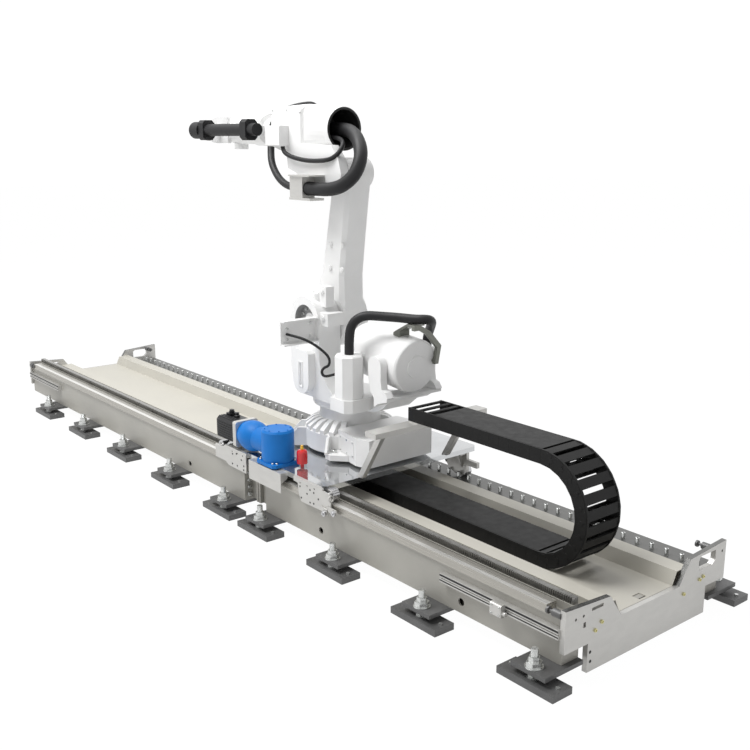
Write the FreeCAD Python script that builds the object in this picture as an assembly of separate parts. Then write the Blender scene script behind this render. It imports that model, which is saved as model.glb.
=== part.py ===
import FreeCAD, Part
import math
import os

# Robot linear track with its carriage, rack drive, energy chain and the arm that rides on it.
# Origin: on the floor, on the centre line of the track, under the arm's first axis at rest.
# X runs along the track towards the near end, Y across it away from the drive, Z up.

# Track
NEAR_X = 2933.0
FAR_X = -5102.0
END_PLATE_T = 35.0
HALF_WIDTH = 800.0
GIRDER_OUT = HALF_WIDTH - 24.0
GIRDER_IN = GIRDER_OUT - 146.0
GIRDER_WALL = 12.0
GIRDER_BOTTOM = 105.0
FRONT_TOP = 390.0
REAR_TOP = 255.0
SPLICE_NEAR_X = -103.0
SPLICE_FAR_X = -417.0
SPLICE_X = -276.0
RAIL_HEIGHT = 55.0
RAIL_OUT = HALF_WIDTH - 5.0
RAIL_WIDTH = 85.0
REAR_RAIL_T = 20.0
REAR_RAIL_IN = RAIL_OUT - 195.0
STOP_LENGTH = 107.0
JOINT_GAP = 0.6

# Rack and pinion
MODULE = 5.0
PINION_TEETH = 20
PRESSURE_ANGLE = 20.0
RACK_PITCH_Y = 125.0 - HALF_WIDTH
RACK_DEPTH = 40.0
RACK_HEIGHT = 40.0
LEDGE_TOP = 438.0
TOOTH_BACKLASH = 0.5
PINION_WIDTH = 26.0
PINION_X = 10.0

# Trough
FLOOR_Z = 276.0
FLOOR_HALF = 267.0
LIP_Z = 362.0
LIP_IN = 308.0
LIP_OUT = 433.0
SHEET = 5.0

# Feet
NEAR_FEET = (2841.0, 1894.0, 947.0, 0.0)
FAR_FEET = (-552.0, -1497.0, -2442.0, -3387.0, -4332.0)
FOOT_Y = HALF_WIDTH + 100.0
FLOOR_PLATE = (424.0, 163.0, 45.0)
FOOT_BRACKET = (260.0, 28.0)
FOOT_REACH = FOOT_Y + 55.0
STUD_R = 21.0
STUD_TOP = 218.0
ANCHOR_HOLE_R = 9.0
ANCHOR_PITCH = 350.0

# Carriage
PLATE_HALF_X = 690.0
PLATE_HALF_Y = RAIL_OUT - 10.0
PLATE_Z = 496.0
PLATE_T = 40.0
RIGHT_WHEEL_X = 757.0
LEFT_WHEEL_X = -757.0
WHEEL_R = 48.0
AXLE_R = 12.0
REAR_WHEEL_X = PLATE_HALF_X - 70.0
REAR_WHEEL_R = 45.0
RUN_GAP = 0.3
FIT = 0.05
REACH = 810.0
BRACKET_Y = RAIL_OUT + 5.0
BRACKET_T = 12.0
LEG_Y = HALF_WIDTH - 135.0
LEG_T = 30.0
GEAR_Y = RACK_PITCH_Y - MODULE * PINION_TEETH / 2.0

# Energy chain
CHAIN_HALF = 165.0
CHAIN_H = 100.0
BEND_X = 2190.0
BEND_R = 350.0
BEND_LINKS = 12
CHAIN_START = 908.0
OPEN_LINKS = 3
LINK_PITCH = 91.0
CHAIN_SIDE = 14.0
ANCHOR_X = -150.0

# Arm
BASE_Z = 560.0
BASE_R = 372.0
NECK_TOP = 896.0
J2 = (-165.0, 1588.0)
J3 = (30.0, 2740.0)
ARM_NEAR_Y = -110.0
ARM_FAR_Y = 130.0
FOREARM_Z = 3072.0
HOUSING_REAR = -55.0
HOUSING_FRONT = -790.0
J5_X = -1900.0
HOSE_R = 52.0
HOSE_Y = -252.0
RISER_R = 29.0
SOCKET_Y = 256.0
COVER_TOP = 1411.0
BASE_HOSE_R = 36.0
RING_XS = (J5_X + 160.0, J5_X + 860.0)

PLATE_TOP = PLATE_Z + PLATE_T
RAIL_TOP = FRONT_TOP + RAIL_HEIGHT
REAR_RAIL_TOP = REAR_TOP + REAR_RAIL_T
CHAIN_Z = FLOOR_Z + RUN_GAP
BEND_Z = CHAIN_Z + CHAIN_H / 2.0 + BEND_R
UPPER_Z = BEND_Z + BEND_R - CHAIN_H / 2.0

os.makedirs("parts", exist_ok=True)


def vec(x, y, z):
    return FreeCAD.Vector(x, y, z)


def save(name, *shapes):
    shape = shapes[0] if len(shapes) == 1 else Part.makeCompound(list(shapes))
    shape.exportStep("parts/" + name + ".step")


def box(x0, x1, y0, y1, z0, z1):
    return Part.makeBox(x1 - x0, y1 - y0, z1 - z0, vec(x0, y0, z0))


def profile(points, place, span):
    """Extrude a closed outline of flat points, each put in space by place, over the vector span."""
    corners = [place(a, b) for a, b in points]
    return Part.Face(Part.makePolygon(corners + corners[:1])).extrude(span)


def along_x(points, x0, x1):
    return profile(points, lambda y, z: vec(x0, y, z), vec(x1 - x0, 0, 0))


def along_y(points, y0, y1):
    return profile(points, lambda x, z: vec(x, y0, z), vec(0, y1 - y0, 0))


def along_z(points, z0, z1):
    return profile(points, lambda x, y: vec(x, y, z0), vec(0, 0, z1 - z0))


def rod_x(x0, x1, y, z, r):
    return Part.makeCylinder(r, x1 - x0, vec(x0, y, z), vec(1, 0, 0))


def rod_y(x, y0, y1, z, r):
    return Part.makeCylinder(r, y1 - y0, vec(x, y0, z), vec(0, 1, 0))


def rod_z(x, y, z0, z1, r):
    return Part.makeCylinder(r, z1 - z0, vec(x, y, z0), vec(0, 0, 1))


def hexagon(x, y, z0, z1, across):
    r = across / math.sqrt(3.0)
    points = [(x + r * math.cos(math.radians(60 * i)), y + r * math.sin(math.radians(60 * i)))
              for i in range(6)]
    return along_z(points, z0, z1)


def turned(points, axis_x, axis_y):
    """Revolve a closed outline of (radius, height) points about a vertical axis."""
    return turn(points, lambda r, z: vec(axis_x + r, axis_y, z), vec(axis_x, axis_y, 0), vec(0, 0, 1))


def turn(points, place, centre, axis):
    corners = [place(a, b) for a, b in points]
    return Part.Face(Part.makePolygon(corners + corners[:1])).revolve(centre, axis, 360)


def turned_x(points, y, z):
    """Revolve a closed outline of (x, radius) points about an axis along X."""
    return turn(points, lambda x, r: vec(x, y, z + r), vec(0, y, z), vec(1, 0, 0))


def chamfered(shape, size, wanted):
    edges = [e for e in shape.Edges if wanted(e)]
    return shape.makeChamfer(size, edges)


def fused(first, *others):
    return first.fuse(list(others)).removeSplitter()


def cut(first, *others):
    return first.cut(list(others))


def hose(points, r):
    """A round hose along straight runs joined by the widest tangent arcs that the runs allow."""
    points = [vec(*p) for p in points]
    runs = [q - p for p, q in zip(points, points[1:])]
    edges = []
    start = points[0]
    for corner, before, after in zip(points[1:], runs, runs[1:]):
        cutback = 0.45 * min(before.Length, after.Length)
        came, left = before.normalize(), vec(after.x, after.y, after.z).normalize()
        half_turn = came.getAngle(left) / 2.0
        radius = cutback / math.tan(half_turn)
        inward = (left - came).normalize()
        middle = corner + inward * (radius / math.cos(half_turn) - radius)
        arc_start, arc_end = corner - came * cutback, corner + left * cutback
        edges.append(Part.LineSegment(start, arc_start).toShape())
        edges.append(Part.Arc(arc_start, middle, arc_end).toShape())
        start = arc_end
        print("hose radius %.0f of corner turned %.0f degrees" % (radius, math.degrees(2 * half_turn)))
    edges.append(Part.LineSegment(start, points[-1]).toShape())
    path = Part.Wire(edges)
    ring = Part.Wire([Part.Circle(points[0], points[1] - points[0], r).toShape()])
    tube = path.makePipeShell([ring], True, False)
    print("hose volume %.4f of its length times its section" % (tube.Volume / (path.Length * math.pi * r * r)))
    return tube


# Side girders: hollow welded boxes with cable holes in the outer web
def girder(x0, x1, side, top, holes, ledge):
    y_out, y_in = side * GIRDER_OUT, side * GIRDER_IN
    y0, y1 = min(y_out, y_in), max(y_out, y_in)
    w = GIRDER_WALL
    body = cut(box(x0, x1, y0, y1, GIRDER_BOTTOM, top),
               box(x0 + w, x1 - w, y0 + w, y1 - w, GIRDER_BOTTOM + w, top - w))
    for x in holes:
        body = cut(body, rod_y(x, y0 - 1, y1 + 1, GIRDER_BOTTOM + 75, 26))
    if ledge:
        body = fused(body, box(x0, x1, RACK_PITCH_Y - 10, y_in, top, LEDGE_TOP))
    return body


def girder_with_splice(x0, x1, side, top, holes, ledge):
    """The far girder carries the spigot that joins it to the near one."""
    body = girder(x0, x1, side, top, holes, ledge)
    y0, y1 = sorted((side * (GIRDER_OUT - 40), side * (GIRDER_IN + 12)))
    z0, z1 = GIRDER_BOTTOM + 15, top - 15
    spigot = fused(box(x1, SPLICE_NEAR_X, y0 + 30, y1 - 30, z0, z1),
                   box(SPLICE_X - 30, SPLICE_X - 5, y0, y1, z0, z1),
                   box(SPLICE_X + 5, SPLICE_X + 30, y0, y1, z0, z1),
                   box(SPLICE_NEAR_X - 20, SPLICE_NEAR_X, y0, y1, z0, z1))
    return fused(body, spigot)


save("girder_front_near", girder(SPLICE_NEAR_X, NEAR_X, -1, FRONT_TOP, (2122, 639), True))
save("girder_rear_near", girder(SPLICE_NEAR_X, NEAR_X, 1, REAR_TOP, (), False))
save("girder_front_far", girder_with_splice(FAR_X, SPLICE_FAR_X, -1, FRONT_TOP, (-1340,), True))
save("girder_rear_far", girder_with_splice(FAR_X, SPLICE_FAR_X, 1, REAR_TOP, (), False))

# Channel sections that tie the two girders together and carry the trough
FEET = NEAR_FEET + FAR_FEET


def cross_member(x):
    outline = [(x - 60, 180), (x + 60, 180), (x + 60, FLOOR_Z - SHEET), (x - 60, FLOOR_Z - SHEET),
               (x - 60, FLOOR_Z - SHEET - 10), (x + 48, FLOOR_Z - SHEET - 10), (x + 48, 190),
               (x - 60, 190)]
    return cut(along_y(outline, -GIRDER_IN, GIRDER_IN),
               box(x - 61, x + 61, REAR_RAIL_IN, GIRDER_IN + 1, REAR_TOP, FLOOR_Z))


save("cross_members", *[cross_member(x + (60 if x < 0 else 0)) for x in FEET if x != 0.0])

# Trough: one folded sheet per track segment
SLANT = math.hypot(LIP_IN - FLOOR_HALF, LIP_Z - FLOOR_Z) / (LIP_Z - FLOOR_Z) * SHEET
RISE = (LIP_IN - FLOOR_HALF) / (LIP_Z - FLOOR_Z) * SHEET


def trough(x0, x1):
    top = [(FLOOR_HALF, FLOOR_Z), (LIP_IN, LIP_Z), (LIP_OUT, LIP_Z), (LIP_OUT, FLOOR_Z - SHEET)]
    under = [(LIP_OUT - SHEET, FLOOR_Z - SHEET), (LIP_OUT - SHEET, LIP_Z - SHEET),
             (LIP_IN + SLANT - RISE, LIP_Z - SHEET), (FLOOR_HALF + SLANT - RISE, FLOOR_Z - SHEET)]
    right = top + under
    left = [(-y, z) for y, z in reversed(right)]
    return along_x(right[:4] + right[4:] + left, x0, x1)


cable_exit = box(NEAR_X - 73, NEAR_X - 18, -45, 25, FLOOR_Z - 10, FLOOR_Z + 1)
save("trough", cut(trough(SPLICE_X, NEAR_X), cable_exit), trough(FAR_X, SPLICE_X - JOINT_GAP))


# End plates: raised ears round the dip that the chain passes through
def end_plate(x0):
    low = HALF_WIDTH - 209
    half = [(low, 5), (low, 190), (HALF_WIDTH, 190), (HALF_WIDTH, RAIL_TOP + 8), (LIP_OUT - 31, FRONT_TOP + 37),
            (FLOOR_HALF + 26, FLOOR_Z - 2)]
    plate = along_x([(y, z) for y, z in half] + [(-y, z) for y, z in reversed(half)], x0, x0 + END_PLATE_T)
    x1 = x0 + END_PLATE_T
    rear_window = [(497, 323), (650, 323), (683, 350), (683, 416), (520, 416), (497, 400)]
    plate = cut(plate, along_x(rear_window, x0 - 1, x1 + 1), box(x0 - 1, x1 + 1, -571, -466, 388, 408),
                box(x0 - 1, x1 + 1, -641, -619, 305, 338), rod_x(x0 - 1, x1 + 1, HALF_WIDTH - 41, 388, 9),
                rod_x(x0 - 1, x1 + 1, 90 - HALF_WIDTH, 379, 9), rod_x(x0 - 1, x1 + 1, 158 - HALF_WIDTH, 380, 9))
    return plate


save("end_plate_near", end_plate(NEAR_X))
save("end_plate_far", end_plate(FAR_X - END_PLATE_T))

# Guide rails: the front one stands proud of its girder so that rollers can grip under it
NEAR_STOP = NEAR_X - STOP_LENGTH
FAR_STOP = FAR_X + STOP_LENGTH


def rail(x0, x1, y0, y1, z0, z1):
    return [box(x0, SPLICE_X - JOINT_GAP, y0, y1, z0, z1), box(SPLICE_X, x1, y0, y1, z0, z1)]


save("guide_rail_front", *rail(FAR_STOP + 2, NEAR_STOP - 2, -RAIL_OUT, -RAIL_OUT + RAIL_WIDTH,
                               FRONT_TOP, RAIL_TOP))
save("guide_rail_rear", *rail(FAR_X, NEAR_X, REAR_RAIL_IN, RAIL_OUT, REAR_TOP, REAR_RAIL_TOP))

# Toothed rack: straight flanks at the pressure angle, run down to a sharp root relief
PITCH = math.pi * MODULE
FLANK = math.tan(math.radians(PRESSURE_ANGLE))
TIP_HALF = (PITCH / 2.0 - TOOTH_BACKLASH) / 2.0 - MODULE * FLANK
ROOT_Y = RACK_PITCH_Y + (PITCH / 2.0 - TIP_HALF) / FLANK - MODULE
GAP_PHASE = PINION_X


def rack(x0, x1):
    """Teeth face -Y; a gap lies under the pinion's lowest tooth at x = GAP_PHASE."""
    first = math.ceil((x0 - GAP_PHASE) / PITCH - 0.5)
    last = math.floor((x1 - GAP_PHASE) / PITCH - 0.5)
    points = [(x0, RACK_PITCH_Y + RACK_DEPTH), (x0, ROOT_Y)]
    for i in range(first, last + 1):
        centre = GAP_PHASE + (i + 0.5) * PITCH
        if centre - PITCH / 2.0 > x0 + 0.01:
            points.append((centre - PITCH / 2.0, ROOT_Y))
        points.append((centre - TIP_HALF, RACK_PITCH_Y - MODULE))
        points.append((centre + TIP_HALF, RACK_PITCH_Y - MODULE))
    points += [(x1, ROOT_Y), (x1, RACK_PITCH_Y + RACK_DEPTH)]
    return along_z(points, LEDGE_TOP, LEDGE_TOP + RACK_HEIGHT)


RACK_SPLIT = GAP_PHASE + PITCH * math.floor((SPLICE_X - GAP_PHASE) / PITCH)
RACK_NEAR_END = GAP_PHASE + PITCH * math.floor((NEAR_X - 12 - GAP_PHASE) / PITCH)
RACK_FAR_END = GAP_PHASE + PITCH * math.ceil((FAR_X + 12 - GAP_PHASE) / PITCH)
save("rack", rack(RACK_SPLIT, RACK_NEAR_END), rack(RACK_FAR_END, RACK_SPLIT - 0.2))

# Feet: floor plate, levelling stud and the bracket welded under the girder
foot_brackets, floor_plates, studs, lock_nuts = [], [], [], []
for x in FEET:
    for side in (-1, 1):
        length, width, thick = FLOOR_PLATE
        span, t = FOOT_BRACKET
        y = side * FOOT_Y
        plate = box(x - length / 2, x + length / 2, y - width / 2, y + width / 2, 0, thick)
        for dx in (-ANCHOR_PITCH / 2, ANCHOR_PITCH / 2):
            plate = cut(plate, rod_z(x + dx, y, -1, thick + 1, ANCHOR_HOLE_R))
        floor_plates.append(plate)
        y0, y1 = sorted((side * FOOT_REACH, side * GIRDER_IN))
        bracket = box(x - span / 2, x + span / 2, y0, y1, GIRDER_BOTTOM - t, GIRDER_BOTTOM)
        foot_brackets.append(cut(bracket, rod_z(x, y, 0, 200, STUD_R)))
        studs.append(fused(rod_z(x, y, thick, STUD_TOP, STUD_R),
                           hexagon(x, y, thick, thick + 18, 60)))
        nut = fused(hexagon(x, y, GIRDER_BOTTOM, GIRDER_BOTTOM + 34, 84),
                    hexagon(x, y, GIRDER_BOTTOM + 34, GIRDER_BOTTOM + 64, 60))
        lock_nuts.append(cut(nut, rod_z(x, y, 0, 250, STUD_R)))
save("foot_brackets", *foot_brackets)
save("floor_plates", *floor_plates)
save("levelling_studs", *studs)
save("lock_nuts", *lock_nuts)


# Shock absorbers on the end plates
def shock_absorber(x_plate, towards, y, z):
    far_end = x_plate + towards * (STOP_LENGTH - 14)
    tip = x_plate + towards * STOP_LENGTH
    x0, x1 = sorted((x_plate, x_plate + towards * 62))
    barrel = rod_x(x0, x1, y, z, 24)
    x0, x1 = sorted((x_plate + towards * 62, far_end))
    piston = rod_x(x0, x1, y, z, 9)
    x0, x1 = sorted((far_end, tip))
    return fused(barrel, piston, rod_x(x0, x1, y, z, 22))


STOP_Y = BRACKET_Y - 12.0
REAR_STOP_Y = LEG_Y + LEG_T / 2.0
STOP_Z = 415.0
save("shock_absorbers",
     shock_absorber(NEAR_X, -1, -STOP_Y, STOP_Z), shock_absorber(NEAR_X, -1, REAR_STOP_Y, STOP_Z),
     shock_absorber(FAR_X, 1, -STOP_Y, STOP_Z), shock_absorber(FAR_X, 1, REAR_STOP_Y, STOP_Z))


# Slotted profile beside the beam with the limit switch on it
def slotted_profile(x0, x1):
    y, z = -GIRDER_OUT, 273.0
    outline = [(y, z), (y, z + 60), (y - 40, z + 60), (y - 40, z + 34), (y - 30, z + 34),
               (y - 30, z + 26), (y - 40, z + 26), (y - 40, z)]
    return along_x(outline, x0, x1)


PROFILE_NEAR, PROFILE_FAR = 969.0, 852.0
save("sensor_profiles", slotted_profile(NEAR_X - PROFILE_NEAR, NEAR_X), slotted_profile(FAR_X, FAR_X + PROFILE_FAR))
switch_x, switch_y = NEAR_X - 448.0, -GIRDER_OUT - 40
switch = chamfered(box(switch_x - 45, switch_x + 45, switch_y - 38, switch_y, 255, 335), 6,
                   lambda e: e.Length > 85)
save("limit_switch", fused(switch, rod_x(switch_x + 45, switch_x + 71, switch_y - 20, 285, 13)))

# Carriage plate with the bore for the pinion shaft
plate = box(-PLATE_HALF_X, PLATE_HALF_X, -PLATE_HALF_Y, PLATE_HALF_Y, PLATE_Z, PLATE_TOP)
plate = chamfered(plate, 30, lambda e: abs(e.Length - PLATE_T) < 0.1)
plate = cut(plate, rod_z(PINION_X, GEAR_Y, PLATE_Z - 1, PLATE_TOP + 1, 42))
save("carriage_plate", plate)


# Front brackets hang outside the guide rail and carry the load rollers on their ends
def front_bracket(outline, pad_x, wheel_x, bolts):
    body = along_y(outline, -BRACKET_Y - BRACKET_T, -BRACKET_Y)
    pad = box(pad_x[0], pad_x[1], -BRACKET_Y, -PLATE_HALF_Y, PLATE_Z + 2, PLATE_TOP - 2)
    axle = rod_y(wheel_x, -BRACKET_Y, -RAIL_OUT + RAIL_WIDTH - 8, FRONT_WHEEL_Z, AXLE_R)
    collar = rod_y(wheel_x, -BRACKET_Y, -BRACKET_Y + 12, FRONT_WHEEL_Z, 20)
    for x in bolts:
        body = cut(body, rod_y(x, -BRACKET_Y - 30, -BRACKET_Y, PLATE_TOP - 31, 7))
    return fused(body, pad, axle, collar)


FRONT_WHEEL_Z = RAIL_TOP + RUN_GAP + WHEEL_R
REAR_WHEEL_Z = REAR_RAIL_TOP + RUN_GAP + REAR_WHEEL_R
right = [(345, PLATE_TOP), (712, PLATE_TOP), (712, 520), (790, 512), (REACH, 480),
         (REACH, STOP_Z - 19), (712, STOP_Z - 19), (712, 363), (442, 361), (412, 410), (397, 496), (345, 500)]
left = [(-325, PLATE_TOP), (-650, PLATE_TOP), (-690, 512), (-REACH, 508), (-REACH, STOP_Z - 19),
        (-650, STOP_Z - 19), (-600, 372), (-330, 368), (-330, 518), (-325, 520)]
save("bracket_front_right", front_bracket(right, (345, 680), RIGHT_WHEEL_X, (430, 520, 610)))
save("bracket_front_left", front_bracket(left, (-640, -325), LEFT_WHEEL_X, (-380, -460, -540)))


def rear_leg(side):
    edge = PLATE_HALF_X
    outline = [(edge - 290, PLATE_Z), (edge, PLATE_Z), (edge, STOP_Z + 25), (REACH, STOP_Z + 25),
               (REACH, STOP_Z - 23), (edge, STOP_Z - 23), (edge, 330), (edge - 40, 292), (edge - 130, 292),
               (edge - 210, 330), (edge - 290, 420)]
    body = along_y([(side * x, z) for x, z in outline], LEG_Y, LEG_Y + LEG_T)
    axle = rod_y(side * REAR_WHEEL_X, LEG_Y + LEG_T, LEG_Y + LEG_T + 68, REAR_WHEEL_Z, AXLE_R)
    x0, x1 = sorted((side * (edge - 280), side * (edge - 10)))
    foot = box(x0, x1, LEG_Y - 60, LEG_Y, PLATE_Z - 14, PLATE_Z)
    rib_outline = [(LEG_Y - 60, PLATE_Z - 14), (LEG_Y, PLATE_Z - 14), (LEG_Y, 360)]
    ribs = [along_x(rib_outline, side * x - 6, side * x + 6) for x in (edge - 240, edge - 50)]
    return fused(body, axle, foot, *ribs)


save("leg_rear_right", rear_leg(1))
save("leg_rear_left", rear_leg(-1))


# Rollers
def roller(x, y0, y1, z, r):
    ring = fused(rod_y(x, y0, y1, z, r), rod_y(x, y0 - 2, y1 + 2, z, r * 0.45))
    return cut(ring, rod_y(x, y0 - 5, y1 + 5, z, AXLE_R + FIT))


FRONT_TREAD = (-RAIL_OUT + 11, -RAIL_OUT + 71)
REAR_TREAD = (LEG_Y + LEG_T + 5, LEG_Y + LEG_T + 57)
save("roller_front_right", roller(RIGHT_WHEEL_X, *FRONT_TREAD, FRONT_WHEEL_Z, WHEEL_R))
save("roller_front_left", roller(LEFT_WHEEL_X, *FRONT_TREAD, FRONT_WHEEL_Z, WHEEL_R))
save("wheel_rear_right", roller(REAR_WHEEL_X, *REAR_TREAD, REAR_WHEEL_Z, REAR_WHEEL_R))
save("wheel_rear_left", roller(-REAR_WHEEL_X, *REAR_TREAD, REAR_WHEEL_Z, REAR_WHEEL_R))
hold_z = FRONT_TOP - RUN_GAP - 15
save("hold_down_rollers", *[fused(rod_y(x, -RAIL_OUT - 2, -RAIL_OUT + 16, hold_z, 15),
                                  rod_y(x, -BRACKET_Y, -RAIL_OUT - 2, hold_z, 8))
                            for x in (470, 640, -400, -580)])

# Pinion guard: bent sheet box open below and towards +X
guard_sheet = 4.0
guard_half = 226.0
guard_front = -BRACKET_Y - 50.0
guard_low, guard_top = FRONT_TOP - 22, PLATE_TOP - 11
side_outline = [(guard_front, guard_low), (-RAIL_OUT - 3, guard_low), (-RAIL_OUT - 3, PLATE_Z - 26),
                (-PLATE_HALF_Y, PLATE_Z - 16), (-PLATE_HALF_Y, guard_top), (guard_front, guard_top)]
guard = fused(box(-guard_half, guard_half, guard_front, guard_front + guard_sheet, guard_low, guard_top),
              along_x(side_outline, -guard_half, -guard_half + guard_sheet),
              along_x([(y, z) for y, z in side_outline if z > 450] + [(guard_front, 440)],
                      guard_half - guard_sheet, guard_half),
              box(-guard_half, guard_half, guard_front, -PLATE_HALF_Y, guard_top - guard_sheet, guard_top))
save("pinion_guard", guard)

# Right-angle gearbox: square flange, round case and the elbow towards the motor
flange = chamfered(box(PINION_X - 130, PINION_X + 130, GEAR_Y - 130, GEAR_Y + 130, PLATE_TOP, PLATE_TOP + 26),
                   24, lambda e: abs(e.Length - 26) < 0.1)
CASE = [(0, PLATE_TOP + 26), (124, PLATE_TOP + 26), (128, PLATE_TOP + 60), (128, PLATE_TOP + 262),
        (116, PLATE_TOP + 278), (0, PLATE_TOP + 278)]
shaft_bore = rod_z(PINION_X, GEAR_Y, PLATE_TOP - 1, PLATE_TOP + 90, 20 + FIT)
gearbox = cut(fused(flange, turned(CASE, PINION_X, GEAR_Y)), shaft_bore)
ADAPTER_X0, ADAPTER_X1 = -488.0, -442.0
MOTOR_Z = PLATE_TOP + 134.0
MOTOR_BACK = -763.0
ELBOW_R, ELBOW_BULGE = 96.0, 124.0
BULGE_X0, BULGE_X1 = ADAPTER_X1 + 16, -240.0


def on_motor_axis(x, r):
    return vec(x, GEAR_Y, MOTOR_Z + r)


bulge = Part.Arc(on_motor_axis(BULGE_X0, ELBOW_R + 4), on_motor_axis((BULGE_X0 + BULGE_X1) / 2, ELBOW_BULGE),
                 on_motor_axis(BULGE_X1, ELBOW_R)).toShape()
ends = [on_motor_axis(BULGE_X1, ELBOW_R), on_motor_axis(PINION_X - 60, ELBOW_R), on_motor_axis(PINION_X - 60, 0),
        on_motor_axis(ADAPTER_X1, 0), on_motor_axis(ADAPTER_X1, ELBOW_R + 4), on_motor_axis(BULGE_X0, ELBOW_R + 4)]
outline = Part.Wire([bulge] + Part.makePolygon(ends).Edges)
elbow = Part.Face(outline).revolve(on_motor_axis(0, 0), vec(1, 0, 0), 360)
elbow = cut(elbow, turned(CASE, PINION_X, GEAR_Y), flange)
save("gearbox", gearbox)
save("gearbox_elbow", elbow)
half = 106.0
adapter = chamfered(box(ADAPTER_X0, ADAPTER_X1, GEAR_Y - half, GEAR_Y + half, MOTOR_Z - half, MOTOR_Z + half),
                    14, lambda e: abs(e.Length - (ADAPTER_X1 - ADAPTER_X0)) < 0.1)
save("motor_adapter", adapter)
half = 92.0
motor = chamfered(box(MOTOR_BACK, ADAPTER_X0, GEAR_Y - half, GEAR_Y + half, MOTOR_Z - half, MOTOR_Z + half),
                  24, lambda e: e.Length > 190 and abs(e.CenterOfMass.x - (MOTOR_BACK + ADAPTER_X0) / 2) < 1)
plug_x, plug_y, plug_z = MOTOR_BACK + 60, GEAR_Y + 20, MOTOR_Z + half
motor = fused(motor, rod_x(MOTOR_BACK - 14, MOTOR_BACK, GEAR_Y, MOTOR_Z, 78),
              box(plug_x - 34, plug_x + 34, plug_y - 34, plug_y + 34, plug_z - 4, plug_z + 20),
              rod_z(plug_x, plug_y, plug_z, plug_z + 46, 20))
save("servo_motor", motor)


# Drive pinion with flat-topped teeth cut to clear the rack
def pinion():
    r = MODULE * PINION_TEETH / 2.0
    tip, root = r + MODULE * 0.9, r - MODULE * 1.2
    step = 2 * math.pi / PINION_TEETH
    half = (PITCH / 2.0 - TOOTH_BACKLASH) / 2.0 / r
    points = []
    for i in range(PINION_TEETH):
        a = math.pi / 2 + i * step
        for radius, width in ((root, half * 1.5), (r, half), (tip, half * 0.38)):
            points.append((radius, a - width))
        for radius, width in ((tip, half * 0.38), (r, half), (root, half * 1.5)):
            points.append((radius, a + width))
    flat = [(PINION_X + q * math.cos(a), GEAR_Y + q * math.sin(a)) for q, a in points]
    z0 = RAIL_TOP + 4
    gear = along_z(flat, z0, z0 + PINION_WIDTH)
    return fused(gear, rod_z(PINION_X, GEAR_Y, z0 + PINION_WIDTH, PLATE_TOP + 85, 20))


save("drive_pinion", pinion())
save("lubricator", turned([(0, PLATE_TOP), (14, PLATE_TOP), (14, PLATE_TOP + 24), (42, PLATE_TOP + 30),
                           (42, PLATE_TOP + 120), (34, PLATE_TOP + 134), (8, PLATE_TOP + 142),
                           (5, PLATE_TOP + 172), (0, PLATE_TOP + 172)], 215, 160 - HALF_WIDTH))

# Struts and the cross bar that hold the chain's moving end
BAR_PAD = 11.0
BAR_X0, BAR_X1 = 950.0, 1010.0
BAR_Z1 = UPPER_Z - RUN_GAP - BAR_PAD
BAR_Z0 = BAR_Z1 - 40.0


def strut(y):
    edge = PLATE_HALF_X + 27
    outline = [(edge - 56, PLATE_TOP), (edge, PLATE_TOP), (BAR_X0 + 6, BAR_Z0), (BAR_X0 - 50, BAR_Z0)]
    return along_y(outline, y - 20, y + 20)


save("chain_struts", strut(-430), strut(430))
bar = box(BAR_X0 - 60, BAR_X1, -558, 558, BAR_Z0, BAR_Z1)
bar = fused(bar, box(CHAIN_START + 4, BAR_X1, -CHAIN_HALF, CHAIN_HALF, BAR_Z1, UPPER_Z - RUN_GAP))
save("chain_bar", bar)


# Energy chain: open links round the bend, covered runs above and below
def bend_link(i):
    step = math.pi / BEND_LINKS
    a0, a1 = -math.pi / 2 + i * step, -math.pi / 2 + (i + 1) * step
    mid = (a0 + a1) / 2
    outer, inner = BEND_R + CHAIN_H / 2, BEND_R - CHAIN_H / 2

    def at(r, a):
        return (BEND_X + r * math.cos(a), BEND_Z + r * math.sin(a))
    cheek = [at(inner, a0), at(outer, a0), at(outer / math.cos(step / 2) * 0.996, mid), at(outer, a1),
             at(inner, a1)]
    sides = [along_y(cheek, y, y + CHAIN_SIDE) for y in (-CHAIN_HALF, CHAIN_HALF - CHAIN_SIDE)]
    bars = []
    for r0, r1, w in ((outer - 14, outer - 2, 0.32), (inner + 2, inner + 12, 0.3)):
        flat = [at(r0, mid - step * w), at(r1, mid - step * w), at(r1, mid + step * w), at(r0, mid + step * w)]
        bars.append(along_y(flat, -CHAIN_HALF + CHAIN_SIDE, CHAIN_HALF - CHAIN_SIDE))
    return fused(sides[0], sides[1], *bars)


save("chain_bend", fused(*[bend_link(i) for i in range(BEND_LINKS)]))
OPEN_END = CHAIN_START + OPEN_LINKS * LINK_PITCH


def straight_run(x0, x1, z0, open_from):
    """A covered run: a hollow box, with open ladder links before open_from."""
    z1 = z0 + CHAIN_H
    w = CHAIN_SIDE
    shell = cut(box(x0, x1, -CHAIN_HALF, CHAIN_HALF, z0, z1),
                box(x0 - 1, x1 + 1, -CHAIN_HALF + w, CHAIN_HALF - w, z0 + 8, z1 - 8))
    x = x0
    while x < open_from - 1:
        hole = box(x + 24, x + LINK_PITCH - 12, -CHAIN_HALF + w + 4, CHAIN_HALF - w - 4, z0 - 1, z1 + 1)
        shell = cut(shell, hole)
        x += LINK_PITCH
    return shell


save("chain_upper", straight_run(CHAIN_START, BEND_X, UPPER_Z, OPEN_END))
save("chain_lower", straight_run(ANCHOR_X, BEND_X, CHAIN_Z, ANCHOR_X))
anchor = fused(box(ANCHOR_X - 60, ANCHOR_X, -CHAIN_HALF, CHAIN_HALF, FLOOR_Z, FLOOR_Z + 8),
               box(ANCHOR_X - 8, ANCHOR_X, -CHAIN_HALF, CHAIN_HALF, FLOOR_Z, FLOOR_Z + 90))
save("chain_anchor", anchor)

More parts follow.
